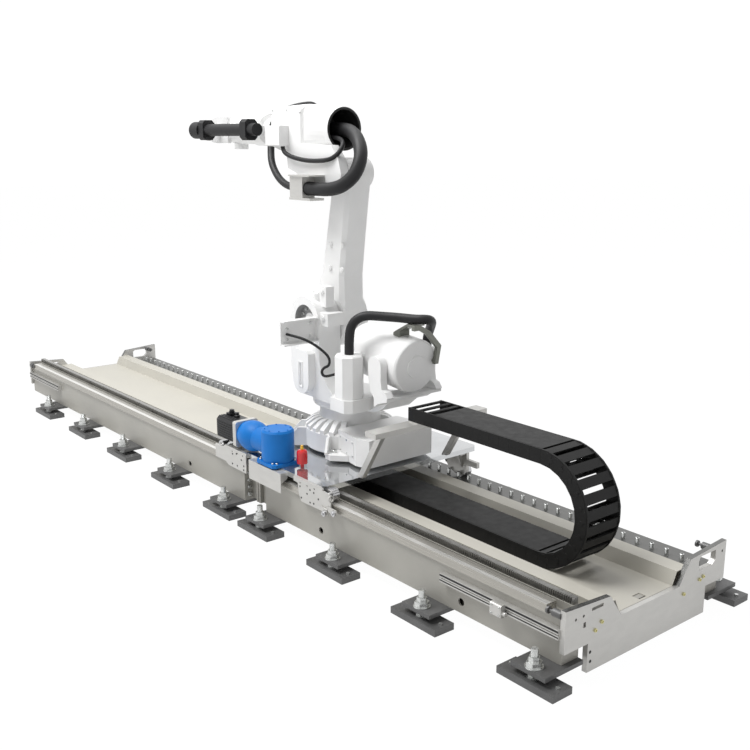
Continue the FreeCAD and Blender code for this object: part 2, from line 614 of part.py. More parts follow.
# Arm base: round casting with radial ribs, four bolted lugs and the connection box at the rear
save("base_spacer", turned([(180, PLATE_TOP), (345, PLATE_TOP), (345, BASE_Z), (180, BASE_Z)], 0, 0))
NECK_R = 250.0
base = turned([(120, BASE_Z), (BASE_R - 8, BASE_Z), (BASE_R, BASE_Z + 10), (BASE_R, 712), (292, 726),
               (NECK_R, 770), (NECK_R, NECK_TOP), (120, NECK_TOP)], 0, 0)
rib = along_y([(NECK_R - 6, 715), (290, 690), (BASE_R - 3, 690), (BASE_R - 3, 742), (BASE_R - 22, 756), (300, 790),
               (NECK_R - 6, 806)], -21, 21)
RIBS = 26
ribs = []
for i in range(RIBS):
    angle = 360.0 / RIBS * (i + 0.5)
    if 38 < angle < 322:
        ribs.append(rib.rotated(vec(0, 0, 0), vec(0, 0, 1), angle))
rear_box = along_z([(230, -300), (520, -355), (640, -318), (640, 318), (520, 355), (230, 300)],
                   BASE_Z, 778)
lug_plate = along_z([(300, -118), (470, -118), (520, -70), (520, 70), (470, 118), (300, 118)], BASE_Z, 604)
gusset = [(330, 600), (505, 600), (505, 618), (420, 712), (330, 712)]
lug = fused(lug_plate, along_y(gusset, -118, -98), along_y(gusset, 98, 118))
for dy in (-52, 52):
    lug = cut(lug, rod_z(440, dy, BASE_Z - 1, 610, 15))
lugs = [lug.rotated(vec(0, 0, 0), vec(0, 0, 1), a) for a in (48, 132, 228, 312)]
bore = rod_z(0, 0, BASE_Z - 1, 1200, 120)
save("robot_base", cut(fused(base, rear_box, *(lugs + ribs)), bore))

# Turret: round deck, the cheek that holds the second axis and the carrier of the balancer's ears
DECK_Z = 1005.0
TURRET_Z = NECK_TOP + RUN_GAP
CHEEK_IN = ARM_NEAR_Y - 10
CHEEK_OUT = -330.0
deck = turned([(0, TURRET_Z), (266, TURRET_Z), (298, 912), (306, 930), (306, 962), (292, 978), (262, 985),
               (250, DECK_Z), (0, DECK_Z)], 0, 0)
COVER_X, COVER_Y, COVER_SIDE, COVER_Z = 397.0, -317.0, 205.0, 1075.0
porch_out = COVER_Y - COVER_SIDE / 2 - 8
porch = along_z([(-60, CHEEK_OUT), (230, CHEEK_OUT), (300, porch_out), (470, porch_out), (515, porch_out + 50),
                 (515, -215), (440, -60), (-60, -60)], 975, COVER_Z)
porch = cut(porch, along_y([(-70, DECK_Z), (170, DECK_Z), (250, COVER_Z + 1), (-70, COVER_Z + 1)], -340, -50))
carrier = along_y([(200, 930), (470, 940), (560, 970), (690, 1075), (760, 1112), (760, 1124), (600, 1124),
                   (440, DECK_Z + 60), (200, DECK_Z + 20)], -150, 150)
arch_r = 195.0
arch_x, arch_z = J2
cheek = fused(along_y([(arch_x - arch_r, 1150), (-230, DECK_Z - 20), (205, DECK_Z - 20), (205, 1040), (60, 1190),
                       (30, 1300), (30, arch_z), (arch_x - arch_r, arch_z)], CHEEK_OUT, CHEEK_IN),
              rod_y(arch_x, CHEEK_OUT, CHEEK_IN, arch_z, arch_r))
cheek = cut(cheek, rod_y(arch_x, CHEEK_OUT - 1, CHEEK_OUT + 60, arch_z, 131))
stop_z = arch_z + arch_r
stop = fused(rod_z(-105, -225, stop_z - 40, stop_z + 28, 62), box(-60, 30, -260, -180, stop_z - 70, stop_z + 90),
             box(0, 120, CHEEK_OUT + 20, CHEEK_IN - 30, arch_z - 10, arch_z + 90))
BALANCER_TILT = math.degrees(math.atan2(61.0, 627.0))
BARREL_R = 208.0
PIVOT_X, PIVOT_Z, PIVOT_R = 645.0, 1355.0, 75.0
EAR_IN, EAR_T = BARREL_R + 6.0, 60.0
ears = []
for y0, y1 in ((-EAR_IN - EAR_T, -EAR_IN), (EAR_IN, EAR_IN + EAR_T)):
    ear = fused(along_y([(PIVOT_X - PIVOT_R, PIVOT_Z), (PIVOT_X - PIVOT_R + 5, PIVOT_Z - 110), (600, 1150), (650, 1100),
                         (760, 1100), (800, 1135), (770, 1175), (730, 1190), (PIVOT_X + PIVOT_R, PIVOT_Z - 100),
                         (PIVOT_X + PIVOT_R, PIVOT_Z)], y0, y1),
                rod_y(PIVOT_X, y0, y1, PIVOT_Z, PIVOT_R))
    ears.append(cut(ear, rod_y(PIVOT_X, y0 - 1, y1 + 1, PIVOT_Z, 30)))
cross_web = along_y([(640, 1040), (690, 1075), (790, 1105), (790, 1124), (640, 1124)], -EAR_IN - EAR_T, EAR_IN + EAR_T)
GLAND_TOP = PIVOT_Z + PIVOT_R + 8
gland = box(PIVOT_X - 42, PIVOT_X + 42, EAR_IN, EAR_IN + 76, PIVOT_Z + 20, GLAND_TOP)
gland = cut(gland, rod_y(PIVOT_X, EAR_IN - 1, EAR_IN + 80, PIVOT_Z, 31))
spindle = turned([(0, 800), (120 - FIT, 800), (120 - FIT, TURRET_Z), (0, TURRET_Z)], 0, 0)
axis_pin = rod_y(arch_x, CHEEK_IN - 1, CHEEK_IN + 6, arch_z, 150)
axis_boss = rod_y(arch_x, CHEEK_IN, ARM_NEAR_Y + 60, arch_z, 80)
turret = fused(deck, porch, carrier, cross_web, cheek, stop, spindle, axis_pin, axis_boss, gland, *ears)
save("turret", turret)

# First-axis motor cover, second-axis motor and the cable channel on the cheek
cover = box(COVER_X - COVER_SIDE / 2, COVER_X + COVER_SIDE / 2, COVER_Y - COVER_SIDE / 2, COVER_Y + COVER_SIDE / 2,
            COVER_Z, COVER_TOP)
cover = chamfered(cover, 56, lambda e: e.Length > COVER_SIDE + 5)
cover = chamfered(cover, 12, lambda e: abs(e.CenterOfMass.z - COVER_TOP) < 0.1)
save("axis1_motor", cover)
motor_x, motor_low, motor_half = -136.0, 1118.0, 106.0
motor_y = CHEEK_OUT - 66
second = fused(along_y([(motor_x - motor_half, motor_low), (motor_x + motor_half, motor_low),
                        (motor_x + motor_half, 1345), (motor_x + 80, 1370), (motor_x - 70, 1370),
                        (motor_x - motor_half, 1340)], motor_y, CHEEK_OUT),
               rod_y(motor_x, motor_y, CHEEK_OUT, motor_low, motor_half))
second = cut(second, box(motor_x - 14, motor_x + 14, motor_y - 4, motor_y + 12, motor_low - 40, motor_low + 140))
save("axis2_motor", second)
CHANNEL_END = -655.0
channel = along_y([(-30, 1452), (-30, 1645), (30, 1645), (30, 1635), (-20, 1635), (-20, 1462), (30, 1462),
                   (30, 1452)], CHANNEL_END, CHEEK_OUT - 6)
foot = box(-30, 25, CHEEK_OUT - 6, CHEEK_OUT, 1480, 1620)
save("channel_bracket", fused(channel, foot))

# Spring balancer between the turret ears, its rod pointing at the arm
balancer = turned_x([(100, 0), (100, 45), (172, 45), (182, 150), (205, 196), (230, BARREL_R), (788, BARREL_R),
                     (802, 200), (806, 192), (806, 88), (814, 84), (814, 0)], 0, 0)
balancer = fused(balancer, rod_y(PIVOT_X, -EAR_IN, EAR_IN, 0, 70))
balancer = fused(balancer, rod_y(PIVOT_X, -EAR_IN - EAR_T, EAR_IN + EAR_T, 0, 30 - FIT))
balancer = balancer.rotated(vec(PIVOT_X, 0, 0), vec(0, 1, 0), BALANCER_TILT)
balancer.translate(vec(0, 0, PIVOT_Z))
save("balancer", balancer)

# Bent strap and shelf that carry the base hose over the balancer
SHELF_TOP = 1702.0 - BASE_HOSE_R - RUN_GAP
shelf = along_y([(610, 1480), (610, 1580), (770, SHELF_TOP), (850, SHELF_TOP), (850, SHELF_TOP - 10),
                 (780, SHELF_TOP - 10), (680, 1600), (680, 1480)], -60, 40)
strap = along_x([(-60, SHELF_TOP - 10), (8, SHELF_TOP - 10), (98, 1606), (213, 1484), (185, 1345), (150, 1345),
                 (172, 1470), (70, 1580), (0, 1622), (-60, 1622)], 818, 850)
strap_foot = rod_x(790, 818, 165, 1368, 14)
save("hose_bracket", cut(fused(shelf, strap, strap_foot), balancer))

# Lower arm: forged profile between two round bosses
LOWER_R, UPPER_R = 235.0, 118.0
lean = math.atan2(J3[0] - J2[0], J3[1] - J2[1])


def along_arm(s, off):
    return (J2[0] + s * math.sin(lean) + off * math.cos(lean),
            J2[1] + s * math.cos(lean) - off * math.sin(lean))


arm_length = math.hypot(J3[0] - J2[0], J3[1] - J2[1])
stations = [(0, LOWER_R), (60, 226), (200, 172), (380, 136), (700, 124), (980, 116), (1100, 116),
            (arm_length, UPPER_R)]
ARM_CHAMFER = 32.0


def arm_section(y, inset):
    right = [along_arm(s, w - inset) for s, w in stations]
    left = [along_arm(s, inset - w) for s, w in reversed(stations)]
    corners = [vec(x, y, z) for x, z in right + left]
    return Part.makePolygon(corners + corners[:1])


def arm_slice(y0, inset0, y1, inset1):
    return Part.makeLoft([arm_section(y0, inset0), arm_section(y1, inset1)], True, True)


low_y, high_y = ARM_NEAR_Y + ARM_CHAMFER, ARM_FAR_Y - ARM_CHAMFER
shank = fused(arm_slice(ARM_NEAR_Y, ARM_CHAMFER, low_y, 0), arm_slice(low_y, 0, high_y, 0),
              arm_slice(high_y, 0, ARM_FAR_Y, ARM_CHAMFER))
lower_arm = fused(shank, rod_y(J2[0], ARM_NEAR_Y, ARM_FAR_Y, J2[1], LOWER_R),
                  rod_y(J3[0], ARM_NEAR_Y, ARM_FAR_Y, J3[1], UPPER_R))
lower_arm = cut(lower_arm, rod_y(J2[0], ARM_NEAR_Y - 1, ARM_NEAR_Y + 66, J2[1], 80 + FIT),
                rod_y(J3[0], ARM_NEAR_Y - 1, ARM_FAR_Y + 1, J3[1], 60 + FIT))
pocket = [along_arm(s, w) for s, w in ((420, 60), (940, 56), (940, -56), (420, -60))]
lower_arm = cut(lower_arm, along_y(pocket, ARM_FAR_Y - 30, ARM_FAR_Y + 1))
save("lower_arm", lower_arm)

# Elbow housing: neck on the third axis, body that turns from square to round at its open rear
HOUSING_HALF = 190.0
HOUSING_LOW, HOUSING_HIGH = FOREARM_Z - 164, FOREARM_Z + 190
SQUARE_END, ROUND_START = -330.0, -115.0
MOUTH_R, MOUTH_BORE = 166.0, 148.0
body = along_y([(HOUSING_FRONT, HOUSING_LOW + 27), (HOUSING_FRONT, FOREARM_Z + 108), (-745, FOREARM_Z + 133),
                (-630, FOREARM_Z + 180), (SQUARE_END, HOUSING_HIGH), (SQUARE_END, HOUSING_LOW),
                (HOUSING_FRONT + 50, HOUSING_LOW)], -HOUSING_HALF, HOUSING_HALF)
CORNER = 46.0
body = chamfered(body, CORNER, lambda e: e.Length > 280 and abs(abs(e.CenterOfMass.y) - HOUSING_HALF) < 1)
MOUTH_SIDES = 32


def mouth_section(x, radius):
    corners = []
    half_z = (HOUSING_HIGH - HOUSING_LOW) / 2
    middle = FOREARM_Z if radius else (HOUSING_HIGH + HOUSING_LOW) / 2
    for i in range(MOUTH_SIDES):
        a = 2 * math.pi * (i + 0.5) / MOUTH_SIDES
        c, q = abs(math.cos(a)), abs(math.sin(a))
        r = radius or min(HOUSING_HALF / c, half_z / q, (HOUSING_HALF + half_z - CORNER) / (c + q))
        corners.append(vec(x, r * math.cos(a), middle + r * math.sin(a)))
    return Part.makePolygon(corners + corners[:1])


taper = Part.makeLoft([mouth_section(SQUARE_END, 0), mouth_section(ROUND_START, MOUTH_R)], True, True)
rim = rod_x(ROUND_START, HOUSING_REAR, 0, FOREARM_Z, MOUTH_R)
NECK_IN, NECK_OUT = ARM_NEAR_Y - 6, ARM_NEAR_Y - 80
elbow_neck = along_y([(-590, HOUSING_LOW + 60), (-560, 2770), (-430, 2728), (-110, 2610), (40, 2600), (120, 2650),
                      (148, 2740), (110, 2850), (20, 2950)], NECK_OUT, NECK_IN)
elbow_pin = fused(rod_y(J3[0], NECK_OUT + 20, ARM_FAR_Y, J3[1], 60), rod_y(J3[0], ARM_FAR_Y, ARM_FAR_Y + 8, J3[1], 78))
SOCKET_X, SOCKET_TOP = -722.0, FOREARM_Z
socket = box(SOCKET_X - 45, SOCKET_X + 45, HOUSING_HALF - 10, SOCKET_Y + 40, SOCKET_TOP - 60, SOCKET_TOP)
elbow_housing = fused(body, taper, rim, elbow_neck, elbow_pin, socket)
BORE_END = HOUSING_REAR - 310
elbow_housing = cut(elbow_housing, rod_x(BORE_END, HOUSING_REAR + 1, 0, FOREARM_Z, MOUTH_BORE))
front_bore = rod_x(HOUSING_FRONT - 1, HOUSING_FRONT + 120, 0, FOREARM_Z, 110 + FIT)
save("elbow_housing", cut(elbow_housing, front_bore))
block = chamfered(box(-740, -540, -282, -HOUSING_HALF, 2940, 3100), 10,
                  lambda e: e.Length > 190 and abs(e.CenterOfMass.y + 282) < 1)
save("axis4_motor", block)

# Clamp that holds the hose loop beside the elbow
CLAMP_X, CLAMP_Y, CLAMP_Z = -337.0, -270.0, 2622.0
HOSE_STEP = CLAMP_X + 80
clamp = fused(box(CLAMP_X, CLAMP_X + 277, -345, NECK_OUT, 2714, 2726),
              box(CLAMP_X, CLAMP_X + 170, CLAMP_Y - 58, CLAMP_Y + 58, 2552, 2714),
              box(CLAMP_X, CLAMP_X + 277, -335, -200, 2534, 2552))
clamp = cut(clamp, rod_x(HOSE_STEP, CLAMP_X + 171, CLAMP_Y, CLAMP_Z, HOSE_R + 1),
            rod_x(CLAMP_X - 1, HOSE_STEP, CLAMP_Y, CLAMP_Z, RISER_R + 1))
save("hose_clamp", clamp)

# Forearm, wrist and tool flange
SHANK_END = J5_X + 260
forearm = turned_x([(-680, 0), (-680, 110), (HOUSING_FRONT, 110), (HOUSING_FRONT, 96), (-1060, 96), (-1075, 134),
                    (-1250, 134), (-1290, 122), (SHANK_END, 118), (SHANK_END, 0)], 0, FOREARM_Z)
FORK_HALF = 112.0
fork = [(SHANK_END + 40, FORK_HALF), (J5_X + 100, FORK_HALF), (J5_X - 90, 68), (J5_X - 110, 0), (J5_X - 90, -68),
        (J5_X + 100, -FORK_HALF), (SHANK_END + 40, -FORK_HALF)]
forks = [along_y([(x, FOREARM_Z + z) for x, z in fork], y0, y1) for y0, y1 in ((-118, -84), (84, 118))]
bulge = rod_z(SHANK_END + 76, 0, FOREARM_Z - 164, FOREARM_Z - 60, 62)
forearm = fused(forearm, bulge, *forks)
forearm = cut(forearm, rod_y(J5_X, -130, 130, FOREARM_Z, 40 + FIT), rod_y(J5_X, -83, 83, FOREARM_Z, 190))
hose_seats = []
for x in RING_XS:
    hose_seats.append(box(x - 24, x + 24, HOSE_Y + 60, -104, FOREARM_Z - 32, FOREARM_Z + 32))
forearm = fused(forearm, *hose_seats)
save("forearm", forearm)
WRIST_END = J5_X - 210
wrist = fused(rod_y(J5_X, -80, 80, FOREARM_Z, 108), rod_x(WRIST_END, J5_X, 0, FOREARM_Z, 76),
              rod_y(J5_X, -118, 118, FOREARM_Z, 40))
save("wrist", cut(wrist, rod_x(WRIST_END - 1, WRIST_END + 50, 0, FOREARM_Z, 40 + FIT)))
FLANGE_X = WRIST_END - RUN_GAP
tool = fused(turned_x([(FLANGE_X, 0), (FLANGE_X, 92), (FLANGE_X - 40, 92), (FLANGE_X - 40, 40), (FLANGE_X - 32, 40),
                       (FLANGE_X - 32, 0)], 0, FOREARM_Z), rod_x(FLANGE_X - 1, FLANGE_X + 40, 0, FOREARM_Z, 40))
FLANGE_CIRCLE = 125.0
for i in range(6):
    angle = math.radians(60 * i + 30)
    tool = cut(tool, rod_x(FLANGE_X - 41, FLANGE_X - 20, FLANGE_CIRCLE / 2 * math.cos(angle),
                           FOREARM_Z + FLANGE_CIRCLE / 2 * math.sin(angle), 5.1))
save("tool_flange", tool)

# Hoses
HOSE_END = J5_X - 40


def hose_ring(x):
    """Eight-sided clamp block round the forearm hose."""
    y, z, c = 60.0, 86.0, 26.0
    outline = [(y, z - c), (y - c, z), (c - y, z), (-y, z - c), (-y, c - z), (c - y, -z), (y - c, -z), (y, c - z)]
    return along_x([(HOSE_Y + a, FOREARM_Z + b) for a, b in outline], x - 45, x + 45)


hose_forearm = fused(rod_x(HOSE_END + 20, -905, HOSE_Y, FOREARM_Z, HOSE_R),
                     turned_x([(HOSE_END, 0), (HOSE_END, 56), (HOSE_END + 18, 74), (RING_XS[0] - 45, 74),
                               (RING_XS[0] - 45, 0)], HOSE_Y, FOREARM_Z), *[hose_ring(x) for x in RING_XS])
save("hose_forearm", hose_forearm)
ELBOW_ROUTE = [(BORE_END, 0, FOREARM_Z), (-130, 0, 3072), (40, -20, 3062), (215, -75, 2995), (330, -135, 2875),
               (335, -195, 2745), (245, -242, 2658), (110, -264, 2624), (-40, CLAMP_Y, CLAMP_Z),
               (HOSE_STEP, CLAMP_Y, CLAMP_Z)]
save("hose_elbow", hose(ELBOW_ROUTE, HOSE_R))
RISER_ROUTE = [(HOSE_STEP, CLAMP_Y, CLAMP_Z), (-370, CLAMP_Y, CLAMP_Z), (-505, -264, 2645), (-640, -245, 2708),
               (-758, -218, 2808), (-836, -168, 2920), (-858, -145, 3035), (-862, -122, 3132), (-838, -70, 3200),
               (-775, -10, 3240), (-722, 95, 3268), (-720, 195, 3272), (SOCKET_X, SOCKET_Y, 3200),
               (SOCKET_X, SOCKET_Y, SOCKET_TOP)]
save("hose_riser", hose(RISER_ROUTE, RISER_R))
BASE_ROUTE = [(COVER_X, COVER_Y, COVER_TOP), (COVER_X, COVER_Y, 1530), (404, -300, 1645), (470, -240, 1712),
              (580, -150, 1708), (700, -75, 1706), (815, -18, 1702), (868, 25, 1706), (866, 85, 1692),
              (820, 140, 1660), (750, 190, 1610), (685, 232, 1555), (PIVOT_X, 252, 1500),
              (PIVOT_X, 252, GLAND_TOP)]
save("hose_base", hose(BASE_ROUTE, BASE_HOSE_R))
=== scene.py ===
import math

import bmesh
import bpy
from mathutils import Matrix, Vector


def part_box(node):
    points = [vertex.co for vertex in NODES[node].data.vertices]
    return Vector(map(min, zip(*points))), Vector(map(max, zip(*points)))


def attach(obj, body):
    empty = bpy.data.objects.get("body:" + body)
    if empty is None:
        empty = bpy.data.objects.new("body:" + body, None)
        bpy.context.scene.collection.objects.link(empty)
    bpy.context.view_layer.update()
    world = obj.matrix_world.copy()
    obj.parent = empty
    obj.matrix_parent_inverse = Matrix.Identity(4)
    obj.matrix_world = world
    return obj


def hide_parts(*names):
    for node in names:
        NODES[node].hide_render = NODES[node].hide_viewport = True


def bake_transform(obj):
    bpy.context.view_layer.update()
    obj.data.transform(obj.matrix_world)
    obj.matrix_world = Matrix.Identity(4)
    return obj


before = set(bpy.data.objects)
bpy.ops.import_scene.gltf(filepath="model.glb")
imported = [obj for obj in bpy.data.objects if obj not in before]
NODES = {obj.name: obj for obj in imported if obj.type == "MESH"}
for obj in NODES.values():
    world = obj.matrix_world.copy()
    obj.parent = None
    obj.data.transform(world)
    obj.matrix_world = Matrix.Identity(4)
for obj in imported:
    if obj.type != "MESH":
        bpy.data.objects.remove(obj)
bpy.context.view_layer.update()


# Materials
def ramp(nodes, low, high, a, b):
    """A node that maps the range from low to high onto the range from a to b."""
    node = nodes.new("ShaderNodeMapRange")
    node.inputs["From Min"].default_value = low
    node.inputs["From Max"].default_value = high
    node.inputs["To Min"].default_value = a
    node.inputs["To Max"].default_value = b
    return node


def finish(name, colour, rough, metal=0.0, vary=0.05, grain=12.0, stretch=(1, 1, 1),
           bump=0.1, fine=300.0, spread=0.06, coat=0.0, shine=0.5):
    """A painted, machined or moulded surface: blotches of tone, uneven gloss and a fine bump."""
    mat = bpy.data.materials.new(name)
    mat.use_nodes = True
    nodes, links = mat.node_tree.nodes, mat.node_tree.links
    bsdf = nodes["Principled BSDF"]
    bsdf.inputs["Metallic"].default_value = metal
    bsdf.inputs["Coat Weight"].default_value = coat
    bsdf.inputs["Specular IOR Level"].default_value = shine
    bsdf.inputs["Coat Roughness"].default_value = 0.12
    coords = nodes.new("ShaderNodeTexCoord")
    mapping = nodes.new("ShaderNodeMapping")
    mapping.inputs["Scale"].default_value = stretch
    links.new(coords.outputs["Object"], mapping.inputs["Vector"])
    blotch = nodes.new("ShaderNodeTexNoise")
    blotch.inputs["Scale"].default_value = grain
    blotch.inputs["Detail"].default_value = 5.0
    links.new(mapping.outputs["Vector"], blotch.inputs["Vector"])
    colours = nodes.new("ShaderNodeValToRGB")
    dark = [c * (1.0 - vary) for c in colour]
    light = [min(1.0, c * (1.0 + vary * 0.7)) for c in colour]
    colours.color_ramp.elements[0].position = 0.35
    colours.color_ramp.elements[0].color = (*dark, 1)
    colours.color_ramp.elements[1].position = 0.65
    colours.color_ramp.elements[1].color = (*light, 1)
    links.new(blotch.outputs["Fac"], colours.inputs["Fac"])
    links.new(colours.outputs["Color"], bsdf.inputs["Base Color"])
    gloss = ramp(nodes, 0.3, 0.7, max(0.02, rough - spread), min(1.0, rough + spread))
    links.new(blotch.outputs["Fac"], gloss.inputs["Value"])
    links.new(gloss.outputs["Result"], bsdf.inputs["Roughness"])
    tooth = nodes.new("ShaderNodeTexNoise")
    tooth.inputs["Scale"].default_value = fine
    tooth.inputs["Detail"].default_value = 3.0
    links.new(mapping.outputs["Vector"], tooth.inputs["Vector"])
    relief = nodes.new("ShaderNodeBump")
    relief.inputs["Strength"].default_value = bump
    relief.inputs["Distance"].default_value = 0.001
    links.new(tooth.outputs["Fac"], relief.inputs["Height"])
    links.new(relief.outputs["Normal"], bsdf.inputs["Normal"])
    return mat


ROBOT = finish("robot_white", (0.83, 0.83, 0.825), 0.34, vary=0.025, grain=5, bump=0.08, fine=180)
BEAM = finish("beam_paint", (0.365, 0.355, 0.322), 0.38, vary=0.05, grain=3, bump=0.12, fine=220)
TROUGH = finish("trough_paint", (0.50, 0.482, 0.427), 0.42, vary=0.035, grain=2.5, bump=0.10,
                fine=200)
MACHINED = finish("machined_plate", (0.55, 0.543, 0.522), 0.36, metal=0.5, vary=0.04, grain=9,
                  stretch=(1, 1, 3), bump=0.08, fine=140)
POLISHED = finish("polished_plate", (0.60, 0.61, 0.62), 0.07, metal=0.9, vary=0.04, grain=6,
                  bump=0.01, spread=0.02)
STRIP = finish("running_strip", (0.74, 0.73, 0.70), 0.2, metal=0.6, vary=0.04, grain=10,
               stretch=(0.25, 6, 6), bump=0.05)
RAIL = finish("ground_rail", (0.40, 0.385, 0.35), 0.26, metal=0.6, vary=0.05, grain=10,
              stretch=(0.25, 6, 6), bump=0.06, fine=120)
DARK_RAIL = finish("dark_rail", (0.13, 0.13, 0.125), 0.34, metal=0.5, vary=0.14, grain=8,
                   stretch=(0.4, 4, 4), bump=0.08)
RACK = finish("rack_steel", (0.30, 0.295, 0.28), 0.3, metal=0.75, vary=0.1, grain=14, bump=0.08)
FOOT = finish("foot_steel", (0.11, 0.11, 0.11), 0.42, metal=0.3, vary=0.12, grain=7, bump=0.16,
              fine=160)
STRAP = finish("strap_steel", (0.20, 0.205, 0.18), 0.36, metal=0.4, vary=0.1, grain=7, bump=0.1)
EDGE = finish("ground_edge", (0.17, 0.17, 0.165), 0.25, metal=0.7, vary=0.12, grain=10, bump=0.05)
# Painted shade: mid grey for the arch in the white turret, which lies in shade
SHADE = finish("painted_recess_shade", (0.30, 0.30, 0.30), 0.5, vary=0.1, grain=12, bump=0.1)
ZINC = finish("zinc_plate", (0.60, 0.61, 0.60), 0.26, metal=0.85, vary=0.1, grain=25, bump=0.06)
YELLOW_ZINC = finish("yellow_zinc", (0.62, 0.58, 0.30), 0.3, metal=0.8, vary=0.14, grain=40,
                     bump=0.06)
ROLLER = finish("roller_steel", (0.55, 0.55, 0.56), 0.2, metal=0.9, vary=0.08, grain=20, bump=0.04)
BLUE = finish("gearbox_blue", (0.006, 0.155, 0.50), 0.45, vary=0.08, grain=6, bump=0.10, fine=160,
              shine=0.22)
BLACK = finish("motor_black", (0.011, 0.011, 0.012), 0.34, vary=0.2, grain=10, bump=0.12, fine=240,
               shine=0.35)
RED = finish("cartridge_red", (0.62, 0.012, 0.015), 0.2, vary=0.08, grain=12, bump=0.03, coat=0.4)
YELLOW = finish("tip_yellow", (0.75, 0.45, 0.03), 0.35, vary=0.08, grain=30, bump=0.03)
CHAIN = finish("chain_black", (0.009, 0.009, 0.009), 0.5, vary=0.2, grain=18, bump=0.14, fine=260,
               shine=0.2)
RUBBER = finish("hose_rubber", (0.012, 0.012, 0.013), 0.5, vary=0.2, grain=20, bump=0.12, shine=0.3)
SPACER = finish("spacer_dark", (0.02, 0.02, 0.02), 0.5, vary=0.2, grain=10, bump=0.1)
# Painted shade: near black for the insides of holes, bores and grooves, where the shade falls
PAINTED_SHADE = finish("painted_hollow_shade", (0.01, 0.01, 0.01), 0.7, vary=0.2, grain=10, bump=0.1)

# Which nodes of the CAD wear which finish
WEAR = {
    BEAM: ["girder_front_near", "girder_rear_near", "girder_front_far", "girder_rear_far",
           "cross_members"],
    TROUGH: ["trough"],
    MACHINED: ["end_plate_near", "end_plate_far", "sensor_profiles", "limit_switch",
               "bracket_front_right", "bracket_front_left", "leg_rear_right", "leg_rear_left",
               "pinion_guard", "motor_adapter", "chain_struts", "chain_bar", "hose_clamp",
               "tool_flange"],
    POLISHED: ["carriage_plate"],
    RAIL: ["guide_rail_front"],
    DARK_RAIL: ["guide_rail_rear"],
    RACK: ["rack", "drive_pinion"],
    FOOT: ["foot_brackets", "floor_plates", "shock_absorbers"],
    STRAP: ["hose_bracket"],
    ZINC: ["levelling_studs", "lock_nuts", "chain_anchor"],
    ROLLER: ["hold_down_rollers", "roller_front_right", "roller_front_left", "wheel_rear_right",
             "wheel_rear_left"],
    BLUE: ["gearbox", "gearbox_elbow"],
    BLACK: ["servo_motor"],
    RED: ["lubricator"],
    CHAIN: ["chain_bend", "chain_upper", "chain_lower"],
    SPACER: ["base_spacer"],
    RUBBER: ["hose_forearm", "hose_elbow", "hose_riser", "hose_base"],
    ROBOT: ["robot_base", "turret", "axis1_motor", "axis2_motor", "channel_bracket", "balancer",
            "lower_arm", "elbow_housing", "axis4_motor", "forearm", "wrist"],
}
for mat, names in WEAR.items():
    for name in names:
        obj = NODES[name]
        obj.data.materials.clear()
        obj.data.materials.append(mat)


# Mesh helpers: every piece is built point by point in metres, in the row frame
SHARP_ANGLE = math.radians(35)
AXES = {"x": Matrix(((0, 0, 1), (1, 0, 0), (0, 1, 0))),
        "y": Matrix(((1, 0, 0), (0, 0, 1), (0, 1, 0))),
        "z": Matrix(((1, 0, 0), (0, 1, 0), (0, 0, 1)))}


def place(bm, name, mat, body, bevel=0.0, smooth=True, segments=2, ride=True):
    """Turn a finished mesh into a piece that rides on a body."""
    bmesh.ops.recalc_face_normals(bm, faces=bm.faces)
    mesh = bpy.data.meshes.new(name)
    bm.to_mesh(mesh)
    bm.free()
    mesh.materials.append(mat)
    obj = bpy.data.objects.new(name, mesh)
    bpy.context.collection.objects.link(obj)
    if bevel:
        edge = obj.modifiers.new("edges", "BEVEL")
        edge.width = bevel
        edge.segments = segments
        edge.limit_method = "ANGLE"
        edge.angle_limit = SHARP_ANGLE
    if smooth:
        for poly in mesh.polygons:
            poly.use_smooth = True
        mesh.set_sharp_from_angle(angle=SHARP_ANGLE)
    if ride:
        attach(obj, body)
    return obj


def prism(bm, outline, axis, a, b):
    """Extrude an outline along an axis: its points are (y, z), (x, z) or (x, y)."""
    turn = AXES[axis]
    low = [bm.verts.new(turn @ Vector((p, q, a))) for p, q in outline]
    high = [bm.verts.new(turn @ Vector((p, q, b))) for p, q in outline]
    n = len(outline)
    bm.faces.new(low)
    bm.faces.new(list(reversed(high)))
    for i in range(n):
        bm.faces.new((low[i], low[(i + 1) % n], high[(i + 1) % n], high[i]))


def block(bm, x0, x1, y0, y1, z0, z1):
    """A box between two corners."""
    prism(bm, [(x0, y0), (x1, y0), (x1, y1), (x0, y1)], "z", z0, z1)


def circle(cx, cy, r, count=24, start=0.0):
    """Points round a circle, from the angle start."""
    angles = [start + 2 * math.pi * i / count for i in range(count)]
    return [(cx + r * math.cos(a), cy + r * math.sin(a)) for a in angles]


def rod(bm, axis, cx, cy, a, b, r, count=24):
    """A round bar along an axis; (cx, cy) is its centre in the other two."""
    prism(bm, circle(cx, cy, r, count), axis, a, b)


def loop(bm, axis, cx, cy, r, h, count):
    """New points round an axis at one height."""
    turn = AXES[axis]
    return [bm.verts.new(turn @ Vector((p, q, h))) for p, q in circle(cx, cy, r, count)]


def ring(bm, axis, cx, cy, a, b, r_out, r_in, count=32):
    """A washer or a short tube along an axis."""
    loops = [loop(bm, axis, cx, cy, r, h, count)
             for r, h in ((r_in, a), (r_out, a), (r_out, b), (r_in, b))]
    for k in range(4):
        low, high = loops[k], loops[(k + 1) % 4]
        for i in range(count):
            j = (i + 1) % count
            bm.faces.new((low[i], low[j], high[j], high[i]))


